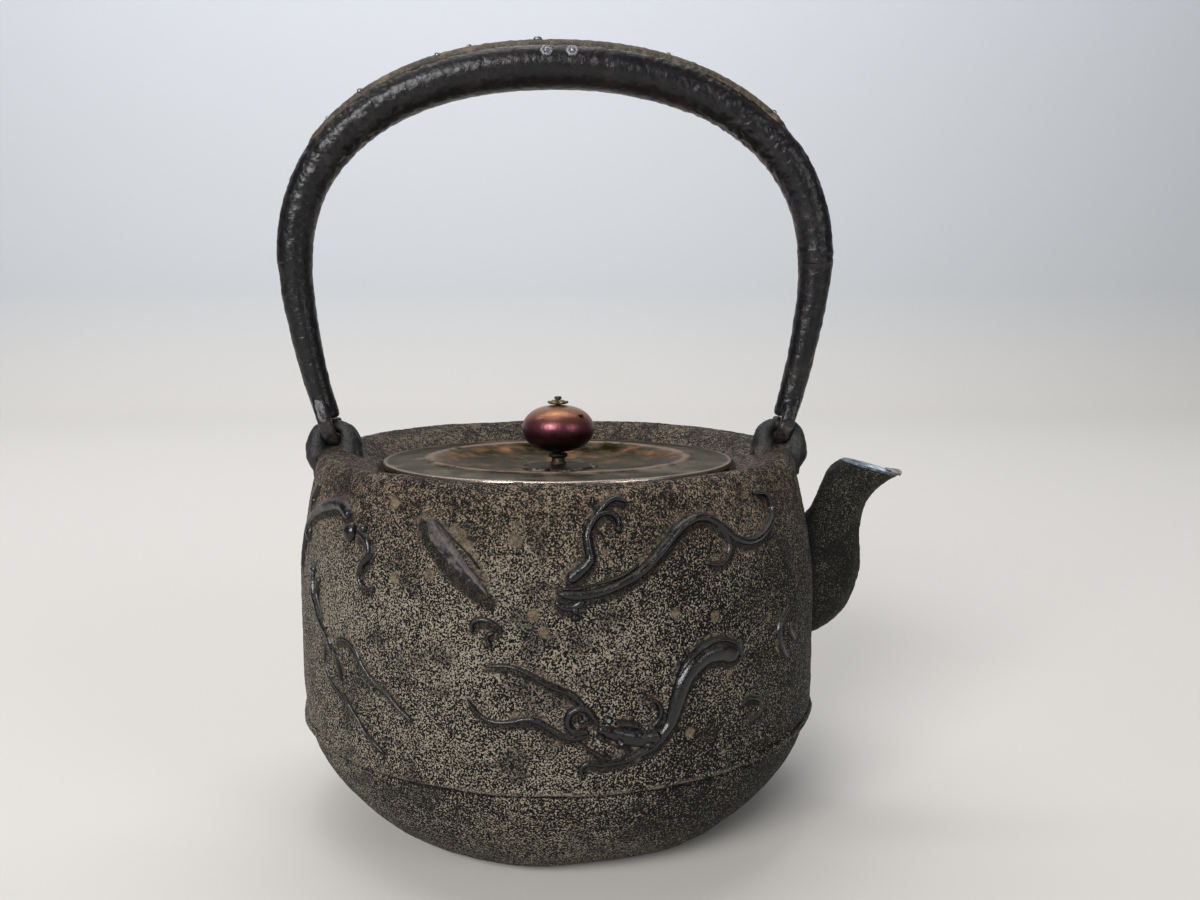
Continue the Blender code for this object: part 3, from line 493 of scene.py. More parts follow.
def cast_skin():
    """Dry cast skin: worm-like grains worn pale over a near-black ground, browner up high.

    The painted values add dirt beside the strokes and painted shadow under them, painted shade on the right
    side, pale spots and the mould's joint.
    """
    skin = Finish("cast_skin", Specular_IOR_Level=0.16)
    grain = skin.noise(0.46, 1.6, 0.45, distortion=0.3)
    fine = skin.noise(0.9, 2, 0.6)
    patches = skin.noise(24, 3, 0.55)
    mottle = skin.noise(5, 3, 0.6)
    high = skin.height().between(84, 114)
    bowl = 1 - skin.height().between(28, 38)
    speck = grain * 0.97 + fine * 0.18 - 0.075 + (patches - 0.5) * 0.16 + (mottle - 0.5) * 0.08
    # Painted shade darkens the right side below the upper shoulder, and the bowl is darker.
    speck = speck - skin.painted("shade_side") * (1 - high) * 0.085 - bowl * 0.034
    colour = skin.ramp(speck, (0.445, (0.0020, 0.0019, 0.0020)), (0.488, (0.0085, 0.0075, 0.0068)),
                       (0.516, (0.076, 0.066, 0.052)), (0.556, (0.295, 0.257, 0.195)))
    lumps = skin.noise(1.9, 3, 0.6)
    brown = skin.ramp(speck * 0.6 + lumps * 0.4, (0.445, (0.0055, 0.0040, 0.0034)),
                      (0.495, (0.032, 0.0225, 0.0165)), (0.54, (0.115, 0.083, 0.057)),
                      (0.58, (0.25, 0.19, 0.13)))
    colour = skin.mix(high * 0.9, colour, brown)
    colour = skin.mix(skin.noise(13, 3, 0.6).between(0.52, 0.68) * 0.6, colour, (0.0085, 0.0072, 0.0072))
    close = skin.painted("near_relief")
    ochre = skin.mix(skin.noise(1.5, 3).between(0.35, 0.65), (0.022, 0.017, 0.013), (0.135, 0.105, 0.075))
    dirt = close.between(0.1, 0.9) * skin.noise(4, 3, 0.6).between(0.38, 0.6) * 0.75
    colour = skin.mix(dirt, colour, ochre)
    # Painted shadow under each stroke.
    colour = skin.mix(skin.painted("under_relief").between(0.2, 0.9) * 0.8, colour, (0.0030, 0.0028, 0.0030))
    pale = skin.mix(skin.noise(1.6, 2).between(0.3, 0.7), (0.075, 0.055, 0.036), (0.23, 0.18, 0.115))
    colour = skin.mix(skin.painted("spots").between(0.25, 0.75) * 0.8, colour, pale)
    colour = skin.mix(skin.painted("joint_line").between(0.1, 0.9) * 0.9, colour, (0.0025, 0.0023, 0.0025))
    # The lip over the mould's joint is painted paler in patches.
    pale_lip_patches = skin.painted("joint_lip") * mottle.between(0.35, 0.6) * 0.6
    colour = skin.mix(pale_lip_patches, colour, (0.15, 0.128, 0.098))
    bump = (grain * 0.7 + fine * 0.35 + lumps * high * 0.9) * (1 - close * 0.5)
    return skin.finish(colour, roughness=0.80 - speck * 0.30, bump=bump, bump_mm=1.2)


body_mesh = grid_mesh("cast_body", solid)
spots = np.zeros(heights.shape)
draw = np.random.default_rng(11)
SPOTS = [(-35, 111, 2.2), (-33, 91.5, 2.0), (-25, 93.5, 2.0), (-8.2, 103.7, 2.4), (-4.7, 84.7, 2.0),
         (-2.8, 80.2, 1.8), (-20.4, 106.2, 1.5), (-19.0, 104.2, 2.2), (-17.4, 101.8, 2.0), (-15.8, 99.4, 1.4)]
SPOTS += [(draw.uniform(0, 360), draw.uniform(40, 112), draw.uniform(0.8, 1.9)) for _ in range(60)]
for a, z, size in SPOTS:
    spots = np.maximum(spots, np.clip(1.3 - np.hypot(round_to(a), heights - z) / size, 0, 1))


def line_at(z, half):
    return np.clip(1.5 - np.abs(heights - z) / half, 0, 1)


MARKS = {"near_relief": near, "under_relief": under, "spots": spots,
         "shade_side": np.clip(np.sin(turn_by) * 1.1 + 0.1, 0, 1),
         "joint_line": line_at(PARTING_Z - 0.1, 0.55), "joint_lip": line_at(PARTING_Z + 1.1, 0.5)}
for mark, values in MARKS.items():
    paint(body_mesh, mark, values * is_skin)
piece("cast_body", body_mesh, cast_skin(), "kettle", "body_iron", "kettle_body")


# ------------------------------------------------------------------ raised scrolls
# The strokes stand on the wall as rounded ribs of the same casting. Handling has polished them
# to a smooth blue-black, and dirt stays along their feet.
def rib_rings(points, widths, stand, ridge=None, count=13):
    """Rounded rib along a stroke, or a blade with a ridge at a share of its half width."""
    path = smooth_path(points)
    last = len(path) - 1
    rings = []
    for i, (a, z) in enumerate(path):
        half = wide_at(widths, i / last)
        here, normal = on_wall(a, z)
        along = on_wall(*path[min(i + 1, last)])[0] - on_wall(*path[max(i - 1, 0)])[0]
        side = normal.cross(along.normalized()).normalized()
        high = stand * min(1, (half / max(widths)) ** 0.6 + 0.15)
        ring = []
        for u in np.linspace(-1, 1, count):
            bow = (1 - abs(u) ** 2.3) ** 0.75
            if ridge is not None:
                bow = min((1 + u) / (1 + ridge), (1 - u) / (1 - ridge)) ** 0.85
            ring.append(here + side * (u * half * 1.08) + normal * (high * bow - 0.15))
        ring += [here + side * (u * half) - normal * 1.1 for u in (0.7, 0, -0.7)]
        rings.append(ring)
    return rings


def ring_angles(count):
    return [2 * pi * k / count for k in range(count)]


def dome_rings(a, z, half_u, half_z, stand):
    """Bead on the wall, rooted under its skin."""
    middle, normal = on_wall(a, z)
    level = Vector((0, 0, 1)).cross(normal).normalized()
    up = normal.cross(level)
    rings = []
    for lift in (-0.9, *[stand * sin(pi / 2 * i / 6) for i in range(6)], stand * 0.995):
        shrink = sqrt(1 - (max(lift, 0) / stand) ** 2)
        rings.append([middle + (level * (half_u * cos(t)) + up * (half_z * sin(t))) * shrink + normal * lift
                      for t in ring_angles(16)])
    return rings


def joined(name, ring_sets):
    """One mesh from several closed bodies."""
    bm = bmesh.new()
    for rings in ring_sets:
        part = grid_mesh("part", rings)
        bm.from_mesh(part)
        bpy.data.meshes.remove(part)
    mesh = bpy.data.meshes.new(name)
    bm.to_mesh(mesh)
    bm.free()
    mesh.shade_smooth()
    return mesh


def points_of(mesh, what="co"):
    values = np.empty(len(mesh.vertices) * 3)
    mesh.vertices.foreach_get(what, values)
    return values.reshape(-1, 3)


def roughen(mesh, *waves, keep=None):
    """Push the skin in and out by even noise; each wave is a patch size and a depth."""
    place = points_of(mesh) / MM
    out = points_of(mesh, "normal")
    push = np.zeros(len(place))
    for n, (size, depth) in enumerate(waves):
        shift = Vector((3.1 * n, 1.7 * n, 5.3 * n))
        push += depth * np.array([noise.noise(Vector(p) / size + shift) for p in place])
    if keep is not None:
        push *= np.minimum(keep(place), 1)
    mesh.vertices.foreach_set("co", ((place + out * push[:, None]) * MM).ravel())
    mesh.update()


rib_sets = [rib_rings(*stroke) for stroke in STROKES]
rib_sets += [rib_rings(*groove) for groove in GROOVES]
rib_sets += [dome_rings(*bead) for bead in BEADS]
rib_mesh = joined("raised_scrolls", rib_sets)
roughen(rib_mesh, (1.6, 0.10), (4.5, 0.18))

ribs = Finish("worn_ribs")
worn = ribs.noise(3.2, 3, 0.6)
pits = ribs.noise(0.6, 2, 0.6)
# Paler on upward faces: settled dust and painted light from above.
dust_and_top_light = (ribs.facing_up() + (worn - 0.5) * 1.4 + (pits - 0.5) * 0.8).between(0.35, 0.95)
rib_dark = ribs.ramp(worn * 0.6 + pits * 0.4, (0.38, (0.0015, 0.0015, 0.0020)),
                     (0.62, (0.0050, 0.0046, 0.0050)))
rib_pale = ribs.ramp(pits, (0.35, (0.016, 0.013, 0.012)), (0.62, (0.095, 0.078, 0.058)))
rib_finish = ribs.finish(ribs.mix(dust_and_top_light * 0.35, rib_dark, rib_pale),
                         roughness=0.20 + dust_and_top_light * 0.20 + pits * 0.10, bump=pits + worn * 0.6, bump_mm=0.10)
piece("raised_scrolls", rib_mesh, rib_finish, "kettle", "body_iron")

blade_mesh = joined("leaf_blades", [rib_rings(*leaf, ridge=0.35, count=19) for leaf in LEAVES])
roughen(blade_mesh, (1.2, 0.10), (4, 0.2))
blade = Finish("smooth_leaf", Specular_IOR_Level=0.35)
film = blade.noise(1.5, 3, 0.6)
blade_pale = blade.ramp(film, (0.38, (0.038, 0.032, 0.032)), (0.62, (0.095, 0.080, 0.076)))
# Painted light on the upward facet and painted shade on the downward one.
lit = (blade.facing_up() + (film - 0.5) * 0.3).between(-0.10, 0.06)
blade_colour = blade.mix(lit, (0.0025, 0.0023, 0.0025), blade_pale)
blade_finish = blade.finish(blade_colour, roughness=0.42 + film * 0.3, bump=film, bump_mm=0.2)
piece("leaf_blades", blade_mesh, blade_finish, "kettle", "body_iron")

glint = Finish("eye_inlay")
glint_colour = glint.mix(glint.noise(0.7, 2).between(0.35, 0.65), (0.10, 0.16, 0.16), (0.22, 0.31, 0.31))
eye_mesh = joined("eye_inlays", [dome_rings(*eye) for eye in EYES])
piece("eye_inlays", eye_mesh, glint.finish(glint_colour, roughness=0.25 + glint.noise(0.5) * 0.2),
      "kettle", "body_iron")


# ------------------------------------------------------------------ spout
# Hollow cast spout, burned onto the wall while it was poured. Its mouth is trimmed aslant and
# filed inside, with painted light on its inner wall and a small squared lip at the very tip.
SPOUT_WALL, SPOUT_ROOT_DEEP, SPOUT_NECK_DEEP = 2.4, 14.5, 8.6
SPOUT_STEPS, SPOUT_SIDES = 60, 72
# Side view in two spans of four points (x, z) each, under and upper side.
TIP, NAPE, LOW_BEND, HIGH_BEND = (112.4, 107.8), (94.2, 113), (99.6, 84), (82.6, 95)
UNDER_SIDE = [[(72, 52), (97, 55), (100.5, 70), LOW_BEND], [LOW_BEND, (99, 94), (101.5, 103), TIP]]
UPPER_SIDE = [[(72, 91), (76, 92), (80, 92.5), HIGH_BEND], [HIGH_BEND, (86, 99), (86.5, 110.5), NAPE]]


def curve_points(spans):
    """Points along two joined cubic curves."""
    t = np.linspace(0, 1, SPOUT_STEPS)[:, None]
    first, second = [(1 - t) ** 3 * a + 3 * (1 - t) ** 2 * t * b + 3 * (1 - t) * t * t * c + t ** 3 * d
                     for a, b, c, d in np.array(spans, float)]
    return np.concatenate([first, second[1:]])


def spout_rings(wall):
    """Oval rings along the spout, set in from its outside by a wall."""
    low, high = curve_points(UNDER_SIDE), curve_points(UPPER_SIDE)
    rings = []
    for s, a, b in zip(np.linspace(0, 1, len(low)), low, high):
        long = hypot(*(b - a))
        across = (b - a) / long * (long / 2 - wall)
        deep = SPOUT_NECK_DEEP + (SPOUT_ROOT_DEEP - SPOUT_NECK_DEEP) * (1 - s) ** 2 - wall
        ring = []
        for t in ring_angles(SPOUT_SIDES):
            x, z = (a + b) / 2 + across * cos(t)
            ring.append((x, deep * sin(t), z))
        rings.append(ring)
    return rings


spout_mesh = grid_mesh("pouring_spout", spout_rings(0) + spout_rings(SPOUT_WALL)[::-1], wrap_rows=True)
tip, nape = [np.array([x, 0, z]) for x, z in (TIP, NAPE)]
mouth_way = (tip - nape) / np.linalg.norm(tip - nape)
mouth_up = np.array([-mouth_way[2], 0, mouth_way[0]])


def far_from_mouth(place):
    """0 at the trimmed mouth and 1 more for each 3 mm below it, up to 3."""
    below = ((tip + nape) / 2 - place) @ mouth_up
    return np.clip((below - 0.3) / 3, 0, 3)


roughen(spout_mesh, (0.9, 0.16), (2.4, 0.22), (14, 0.7), keep=far_from_mouth)
spout_place = points_of(spout_mesh) / MM
is_inside = np.arange(len(spout_place)) >= len(spout_place) // 2
mouth_depth = far_from_mouth(spout_place) * 3 + 0.3
paint(spout_mesh, "filed", np.clip(1.25 - mouth_depth / np.where(is_inside, 6.0, 0.8), 0, 1))
paint(spout_mesh, "inside", is_inside)
from_wall = np.hypot(spout_place[:, 0], spout_place[:, 1]) - 82.5
paint(spout_mesh, "crease", np.clip(1 - from_wall / 2.5, 0, 1))


def spout_finish():
    """Dark skin with a filed blue-grey rim, painted light inside the mouth and painted shade in the crease at
    the wall.
    """
    skin = Finish("spout_iron", Specular_IOR_Level=0.16)
    grain = skin.noise(0.40, 2, 0.5, distortion=0.25)
    patches = skin.noise(11, 3, 0.55)
    speck = grain * 0.85 + patches * 0.25 - 0.05
    colour = skin.ramp(speck, (0.44, (0.0024, 0.0026, 0.0022)), (0.53, (0.0078, 0.0078, 0.0062)),
                       (0.59, (0.032, 0.029, 0.022)), (0.66, (0.125, 0.115, 0.088)))
    # Painted shade in the crease where the spout meets the wall.
    colour = skin.mix(skin.painted("crease") * 0.75, colour, (0.006, 0.006, 0.006))
    rim = skin.painted("filed")
    metal = skin.ramp(skin.noise(1.6, 3), (0.35, (0.050, 0.062, 0.082)), (0.52, (0.115, 0.135, 0.165)),
                      (0.68, (0.25, 0.27, 0.30)))
    colour = skin.mix(rim.between(0.25, 0.75), colour, metal)
    # Painted light on the inner wall of the mouth.
    colour = skin.mix(skin.painted("inside") * rim, colour, (0.34, 0.385, 0.45))
    return skin.finish(colour, roughness=0.62 - rim * 0.28 + grain * 0.15,
                       metallic=rim.between(0.2, 0.8) * 0.5, bump=grain * (1 - rim), bump_mm=0.3)


piece("pouring_spout", spout_mesh, spout_finish(), "kettle", "spout_iron", "spout")

def squared(value, power):
    """Power that keeps the sign, for squarish ovals."""
    return abs(value) ** power * (1 if value >= 0 else -1)


def loft(centres, sections, sides=28, squareness=2.0, plane=(0, 1, 0)):
    """Oval sections across a line of points; sections are half sizes in and out of its plane."""
    plane = np.array(plane, float)
    centres = np.array(centres, float)
    rings = []
    for i, centre in enumerate(centres):
        along = centres[min(i + 1, len(centres) - 1)] - centres[max(i - 1, 0)]
        across = np.cross(along / np.linalg.norm(along), plane)
        inward, outward = sections[i]
        rings.append([centre + across * (squared(cos(t), 2 / squareness) * inward)
                      + plane * (squared(sin(t), 2 / squareness) * outward) for t in ring_angles(sides)])
    return rings


# The squared lip: way out along the mouth, half width, thickness.
LIP = ((-3.5, 3.4, 0.4), (-1.5, 2.9, 1.3), (0.4, 2.5, 1.9), (0.6, 2.3, 1.6))
lip_middle = np.array([112.0, 0, 108.1]) + mouth_up * 0.2
lip_rings = [[lip_middle + mouth_way * along + np.array([0, squared(cos(t), 0.5) * half_wide, 0])
              + mouth_up * (squared(sin(t), 0.5) * thick / 2) for t in ring_angles(24)]
             for along, half_wide, thick in LIP]
lip = Finish("lip_rust")
lip_colour = lip.mix(lip.noise(1.2, 3).between(0.4, 0.6), (0.075, 0.072, 0.070), (0.30, 0.27, 0.235))
lip_finish = lip.finish(lip_colour, roughness=0.45 + lip.noise(1) * 0.3)
piece("spout_lip", grid_mesh("spout_lip", lip_rings), lip_finish, "kettle", "spout_iron")


# ------------------------------------------------------------------ lugs
# Two ears cast with the shoulder. Each is a squat arch with a low hole that the handle's hook
# goes through, rubbed smooth where the hook bears on it.
LUG_X, LUG_HALF, LUG_LEAN = 72.3, 5.3, 4.2
BRIDGE_Z, LUG_FOOT_Z, LUG_SPRING_Z = 124.4, 104, 115.4
MOUND_Z, MOUND_HALF = 108, 4.6
# The foot inside the shoulder spreads, and a low sill closes the bottom of the hole:
# way out from the lug's middle, half depth, height.
MOUNDS = ((-5, 6.6, 9.4), (-2.2, 5.4, 10.4), (0.2, 5.4, 10.4), (2.4, 5.4, 10.4))


def lug_rings(side):
    rise = BRIDGE_Z - LUG_SPRING_Z
    line = [(-LUG_HALF + (LUG_LEAN if side < 0 else 0), LUG_FOOT_Z)]
    line += [(LUG_HALF * squared(cos(a), 2 / 3), LUG_SPRING_Z + rise * abs(sin(a)) ** (2 / 3))
             for a in np.linspace(pi, 0, 37)]
    line.append((LUG_HALF - (LUG_LEAN if side > 0 else 0), LUG_FOOT_Z))
    sections = []
    for dx, z in line:
        foot = min(max((BRIDGE_Z - z) / rise, 0), 1)
        shoulder = min(abs(dx) / LUG_HALF, 1) ** 3
        sections.append((2.0 + 1.6 * shoulder + 0.4 * foot ** 2, 2.1 + 1.5 * shoulder + 1.9 * foot ** 1.5))
    return loft([(side * LUG_X + dx, 0, z) for dx, z in line], sections)


def evaluated(holder):
    """Mesh of an object with its modifiers applied; the object itself goes."""
    mesh = bpy.data.meshes.new_from_object(holder.evaluated_get(bpy.context.evaluated_depsgraph_get()))
    bpy.data.objects.remove(holder, do_unlink=True)
    mesh.shade_smooth()
    return mesh


def welded(name, ring_sets, voxel_mm, rounds, *waves):
    """Closed bodies made into one skin, softened by hammering and wear."""
    holder = in_scene(name, joined(name, ring_sets))
    weld = holder.modifiers.new("weld", "REMESH")
    weld.mode = "VOXEL"
    weld.voxel_size = voxel_mm * MM
    soften = holder.modifiers.new("soften", "SMOOTH")
    soften.factor = 0.5
    soften.iterations = rounds
    mesh = evaluated(holder)
    roughen(mesh, *waves)
    return mesh


def mound(side, dx, half_deep, high):
    """Dome of metal in the shoulder under a lug, at dx from the lug's middle."""
    rings = []
    for s in np.arange(9) / 8.5:
        shrink = cos(pi / 2 * s) ** 0.6
        z = MOUND_Z + high * sin(pi / 2 * s)
        rings.append([(side * (LUG_X + dx) + MOUND_HALF * shrink * cos(t), half_deep * shrink * sin(t), z)
                      for t in ring_angles(24)])
    return rings


def ear_iron(name):
    skin = Finish(name)
    worn = skin.noise(3.5, 3, 0.6)
    fine = skin.noise(0.8, 3, 0.6)
    colour = skin.ramp(worn * 0.7 + fine * 0.3, (0.38, (0.0030, 0.0030, 0.0032)),
                       (0.52, (0.0080, 0.0076, 0.0074)), (0.66, (0.032, 0.026, 0.020)))
    foot = (1 - skin.height().between(113.5, 119.5)) * (1 - skin.radius().between(LUG_X + 2, LUG_X + 5))
    ochre = skin.ramp(fine, (0.35, (0.026, 0.020, 0.013)), (0.65, (0.17, 0.13, 0.082)))
    colour = skin.mix(foot * worn.between(0.42, 0.58), colour, ochre)
    return skin.finish(colour, roughness=0.42 + worn * 0.25 + foot * 0.15, bump=fine + worn, bump_mm=0.35)


for side, side_name in ((-1, "left"), (1, "right")):
    mounds = [mound(side, *size) for size in MOUNDS]
    ear = welded(f"ear_{side_name}", [lug_rings(side)] + mounds, 0.4, 4, (1.1, 0.14), (4, 0.3))
    piece(f"ear_{side_name}", ear, ear_iron(f"ear_iron_{side_name}"), "kettle", "lug_iron",
          f"lug_{side_name}")


# ------------------------------------------------------------------ handle legs
# Solid forged ends of the handle. Each plugs the hollow bow and runs down to a flat hook that
# leaves the leg at the front, passes under the lug's bridge and turns up behind it.
LEG_TOP_Z, LEG_END_Z, LEG_END_X, BOW_HALF_SPAN = 176, 126.7, 73.9, 82.8
BOW_END, BOW_TOP, LEG_END = 5.5, 7.2, 3.8
HOOK_THICK, HOOK_WIDE, HOOK_TURN, HOOK_SLANT = 3.2, 4.8, 4.6, 2.6


def leg_rings(side):
    centres, sections = [], []
    for s in np.linspace(0, 1, 61):
        z = LEG_TOP_Z + 2 - (LEG_TOP_Z + 2 - LEG_END_Z) * s
        down = min(max((LEG_TOP_Z - z) / (LEG_TOP_Z - LEG_END_Z), 0), 1)
        tip = min((1 - s) / 0.02, 1)
        half = (BOW_END + (LEG_END - BOW_END) * down ** 0.7) * (0.88 + 0.12 * sqrt(1 - (1 - tip) ** 2))
        centres.append((side * (BOW_HALF_SPAN - (BOW_HALF_SPAN - LEG_END_X) * down ** 1.6), 0, z))
        sections.append((half, half * (1 - 0.06 * down)))
    return loft(centres, sections, sides=36)


def hook_rings(side):
    spine = [(-0.8, BRIDGE_Z + 12), (-2.2, BRIDGE_Z + 8), (-3.5, BRIDGE_Z + 5), (-HOOK_TURN, BRIDGE_Z + 2)]
    spine += [(-HOOK_TURN * cos(a), BRIDGE_Z - HOOK_TURN * sin(a)) for a in np.linspace(0, pi, 21)]
    spine += [(HOOK_TURN - 0.1, BRIDGE_Z + 1), (HOOK_TURN - 0.4, BRIDGE_Z + 2.1)]
    sections = []
    for i in range(len(spine)):
        taper = 1 - 0.4 * max(i - len(spine) + 7, 0) / 6
        sections.append((HOOK_THICK / 2 * taper, HOOK_WIDE / 2 * taper))
    lean = [HOOK_SLANT * min(max((z - BRIDGE_Z + 4) / 8, 0), 1.5) * (y < 0) for y, z in spine]
    return loft([(side * (LUG_X + out), y, z) for out, (y, z) in zip(lean, spine)], sections,
                squareness=3.2, plane=(1, 0, 0))


def forged_black(name, brown=0.0):
    """Blackened wrought iron with a soft sheen, rubbed brown and grey in patches."""
    skin = Finish(name, Specular_IOR_Level=0.36)
    worn = skin.noise(7, 4, 0.6)
    wrinkle = skin.noise(1.8, 3, 0.6, distortion=0.8)
    fine = skin.noise(0.5, 2, 0.6)
    colour = skin.ramp(worn * 0.55 + wrinkle * 0.45, (0.36, (0.0016, 0.0014, 0.0020)),
                       (0.52, (0.0042, 0.0035, 0.0048)), (0.66, (0.017, 0.0135, 0.0145)))
    colour = skin.mix(worn.between(0.54, 0.68) * (0.15 + brown), colour, (0.026, 0.019, 0.016))
    rough = 0.21 + wrinkle * 0.16 + fine * 0.08
    return skin, colour, rough, wrinkle + fine * 0.3


for side, side_name in ((-1, "left"), (1, "right")):
    leg = welded(f"leg_{side_name}", [leg_rings(side), hook_rings(side)], 0.36, 3,
                 (0.9, 0.07), (2.6, 0.16), (9, 0.25))
    skin, colour, rough, bump = forged_black(f"leg_black_{side_name}", 0.0 if side < 0 else 0.35)
    low = 1 - skin.height().between(124, 131)
    bare = skin.ramp(skin.noise(1.8, 3), (0.36, (0.016, 0.013, 0.014)), (0.55, (0.046, 0.036, 0.034)),
                     (0.68, (0.125, 0.085, 0.055)))
    colour = skin.mix(low * 0.5, colour, bare)
    leg_finish = skin.finish(colour, roughness=rough, bump=bump, bump_mm=0.16)
    piece(f"leg_{side_name}", leg, leg_finish, "handle", "leg_iron", f"handle_leg_{side_name}")


# ------------------------------------------------------------------ handle bow
# Hollow bow of sheet iron, beaten round a mandrel and closed along its outer side. The surface
# was worked with a punch to a leathery pebble that is deepest at the haunches.
BOW_RISE, BOW_SQUARE = 60.9, 2.2
BOW_STATIONS, BOW_SIDES = 540, 84


def arch_point(t):
    x, z = -squared(cos(pi * t), 2 / BOW_SQUARE), max(sin(pi * t), 0) ** (2 / BOW_SQUARE)
    return np.array([BOW_HALF_SPAN * x, 0, LEG_TOP_Z + BOW_RISE * z])


def arch_frame(t):
    """Centre, outward direction and half thickness of the bow at t, left end 0 to right end 1."""
    step = 0.002
    along = arch_point(min(t + step, 1)) - arch_point(max(t - step, 0))
    if t < step or t > 1 - step:
        along = np.array([0, 0, 1 if t < 0.5 else -1])
    along = along / np.linalg.norm(along)
    half = BOW_END + (BOW_TOP - BOW_END) * sin(pi * t) ** 1.3
    return arch_point(t), np.array([-along[2], 0, along[0]]), half


def on_bow(t, lean_deg, lift=0.0):
    centre, outward, half = arch_frame(t)
    way = outward * cos(radians(lean_deg)) - np.array([0, 1, 0]) * sin(radians(lean_deg))
    return centre + way * (half + lift), way


bow_t = np.linspace(0.0004, 0.9996, BOW_STATIONS)
bow_lean = np.arange(BOW_SIDES) * 360 / BOW_SIDES
bow_rows = [[on_bow(t, lean)[0] for lean in bow_lean] for t in bow_t]
bow_mesh = grid_mesh("hollow_bow", bow_rows)
lean_grid = np.repeat(((bow_lean + 180) % 360 - 180)[None], BOW_STATIONS, 0)
t_grid = np.repeat(bow_t[:, None], BOW_SIDES, 1)


def hump(values, middle, wide):
    return np.exp(-((values - middle) / wide) ** 2)


def with_ends(values, end=0.0):
    """Values of the bow's points, with one for the middle of each end."""
    return np.r_[values.ravel(), end, end]


haunch = hump(t_grid, 0.22, 0.12) + 1.3 * hump(t_grid, 0.76, 0.13) + 0.45
beside = hump(lean_grid, 52, 9) * np.clip(np.minimum(t_grid - 0.15, 0.82 - t_grid) / 0.04, 0, 1)
bow_place = points_of(bow_mesh) / MM
push = np.zeros(len(bow_place))
for i, (p, deep) in enumerate(zip(bow_place, with_ends(haunch, 0.4))):
    v = Vector(p)
    pebble = noise.noise(v / 2.3 + Vector((5, 1, 2)))
    crease = 1 - abs(noise.noise(v / 2.6)) * 3.6
    push[i] = deep * (0.20 * pebble - 0.12 * max(crease, 0))
    push[i] += 0.07 * noise.noise(v) + 0.30 * noise.noise(v / 30)
# A ring where the right leg's plug ends, and a crack across the seam's right end.
push += hump(bow_place[:, 2], 180, 0.8) * (bow_place[:, 0] > 0) * 0.2
push -= with_ends(hump(t_grid, 0.802, 0.0016) * (np.abs(lean_grid - 70) < 60) * 0.3)
push *= with_ends(np.clip(np.minimum(t_grid, 1 - t_grid) / 0.01, 0, 1))
bow_out = points_of(bow_mesh, "normal")
bow_mesh.vertices.foreach_set("co", ((bow_place + bow_out * push[:, None]) * MM).ravel())
bow_mesh.update()
paint(bow_mesh, "beside_seam", beside)

skin, colour, rough, bump = forged_black("bow_black")
wax = skin.noise(9, 4, 0.6)
colour = skin.mix(skin.painted("beside_seam") * (0.35 + wax), colour, (0.019, 0.0125, 0.0105))
piece("hollow_bow", bow_mesh, skin.finish(colour, roughness=rough, bump=bump, bump_mm=0.17),
      "handle", "handle_iron", "handle_bow")


# ------------------------------------------------------------------ handle seam
# The lapped edge of the bow's sheet, brazed along the outer side. It has worn to a dull yellow,
# with ragged edges.
def seam_strip(first, last, lean_back, lean_front, high, steps=420, across=10):
    rings = []
    for s in np.linspace(0, 1, steps + 1):
        t = first + (last - first) * s
        ragged = 2.2 * noise.noise(Vector((t * 95, 3, 1))) + 1.2 * noise.noise(Vector((t * 260, 8, 4)))
        ends = min(s / 0.03, (1 - s) / 0.03, 1)
        span = (lean_front + ragged - lean_back) * (0.25 + 0.75 * ends)
        top = high * (0.2 + 0.8 * ends) * (1 + 0.35 * noise.noise(Vector((t * 150, 1, 9))))
        ways = [(lean_back + ragged * 0.5 + span * k, 1 - abs(2 * k - 1) ** 5)
                for k in np.linspace(0, 1, across + 1)]
        over = [on_bow(t, lean, top * share)[0] for lean, share in ways]
        rings.append(over + [on_bow(t, lean, -0.7)[0] for lean, _ in reversed(ways)])
    return rings


braze = Finish("seam_braze")
flow = braze.noise(5, 4, 0.65)
speckle = braze.noise(0.9, 3, 0.6)
braze_colour = braze.ramp(flow * 0.6 + speckle * 0.4, (0.36, (0.012, 0.009, 0.007)),
                          (0.48, (0.050, 0.038, 0.024)), (0.58, (0.13, 0.104, 0.066)),
                          (0.72, (0.23, 0.19, 0.13)))
braze_finish = braze.finish(braze_colour, roughness=0.52 + speckle * 0.2,
                            metallic=flow.between(0.3, 0.6) * 0.45, bump=speckle + flow, bump_mm=0.3)
piece("brazed_seam", grid_mesh("brazed_seam", seam_strip(0.165, 0.80, -20, 43, 0.7)), braze_finish,
      "handle", "seam_braze", "handle_seam")


# ------------------------------------------------------------------ studs
# Small silver-headed nails driven through the bow to close its seam, two of them over hexagonal
# washers on the front. Place along the bow, lean to the front, head size.
ON_WASHER = 50    # the nails that lean further to the front stand on washers
STUDS = [(0.215, 18, 0.8), (0.270, 18, 1.0), (0.375, 24, 1.0), (0.412, 10, 0.9), (0.484, 12, 1.4),
         (0.492, 62, 0.9), (0.514, 62, 0.9), (0.618, 14, 0.8), (0.770, 14, 0.9)]


def turned(place, profile, sides, outline=None):
    """Rings of a turned shape on a placed axis, from its (radius, height) profile."""
    rings = []
    for r, z in profile:
        ring = []
        for t in ring_angles(sides):
            reach = r * (outline(t, r) if outline else 1)
            ring.append(place @ Vector((reach * cos(t), reach * sin(t), z)))
        rings.append(ring)
    return rings


def hexagon(t, _):
    return 0.98 * cos(pi / 6) / cos((t % (pi / 3)) - pi / 6)


def tarnished(name, metallic, size_mm, dark, pale, pale_at, smooth, bump_mm=0.0, detail=3):
    """Metal dulled in patches between two colours."""
    skin = Finish(name, Metallic=metallic)
    film = skin.noise(size_mm, detail, 0.6)
    colour = skin.ramp(film, (0.38, dark), (pale_at, pale))
    bump = film if bump_mm else None
    return skin.finish(colour, roughness=smooth + film * 0.25, bump=bump, bump_mm=bump_mm)


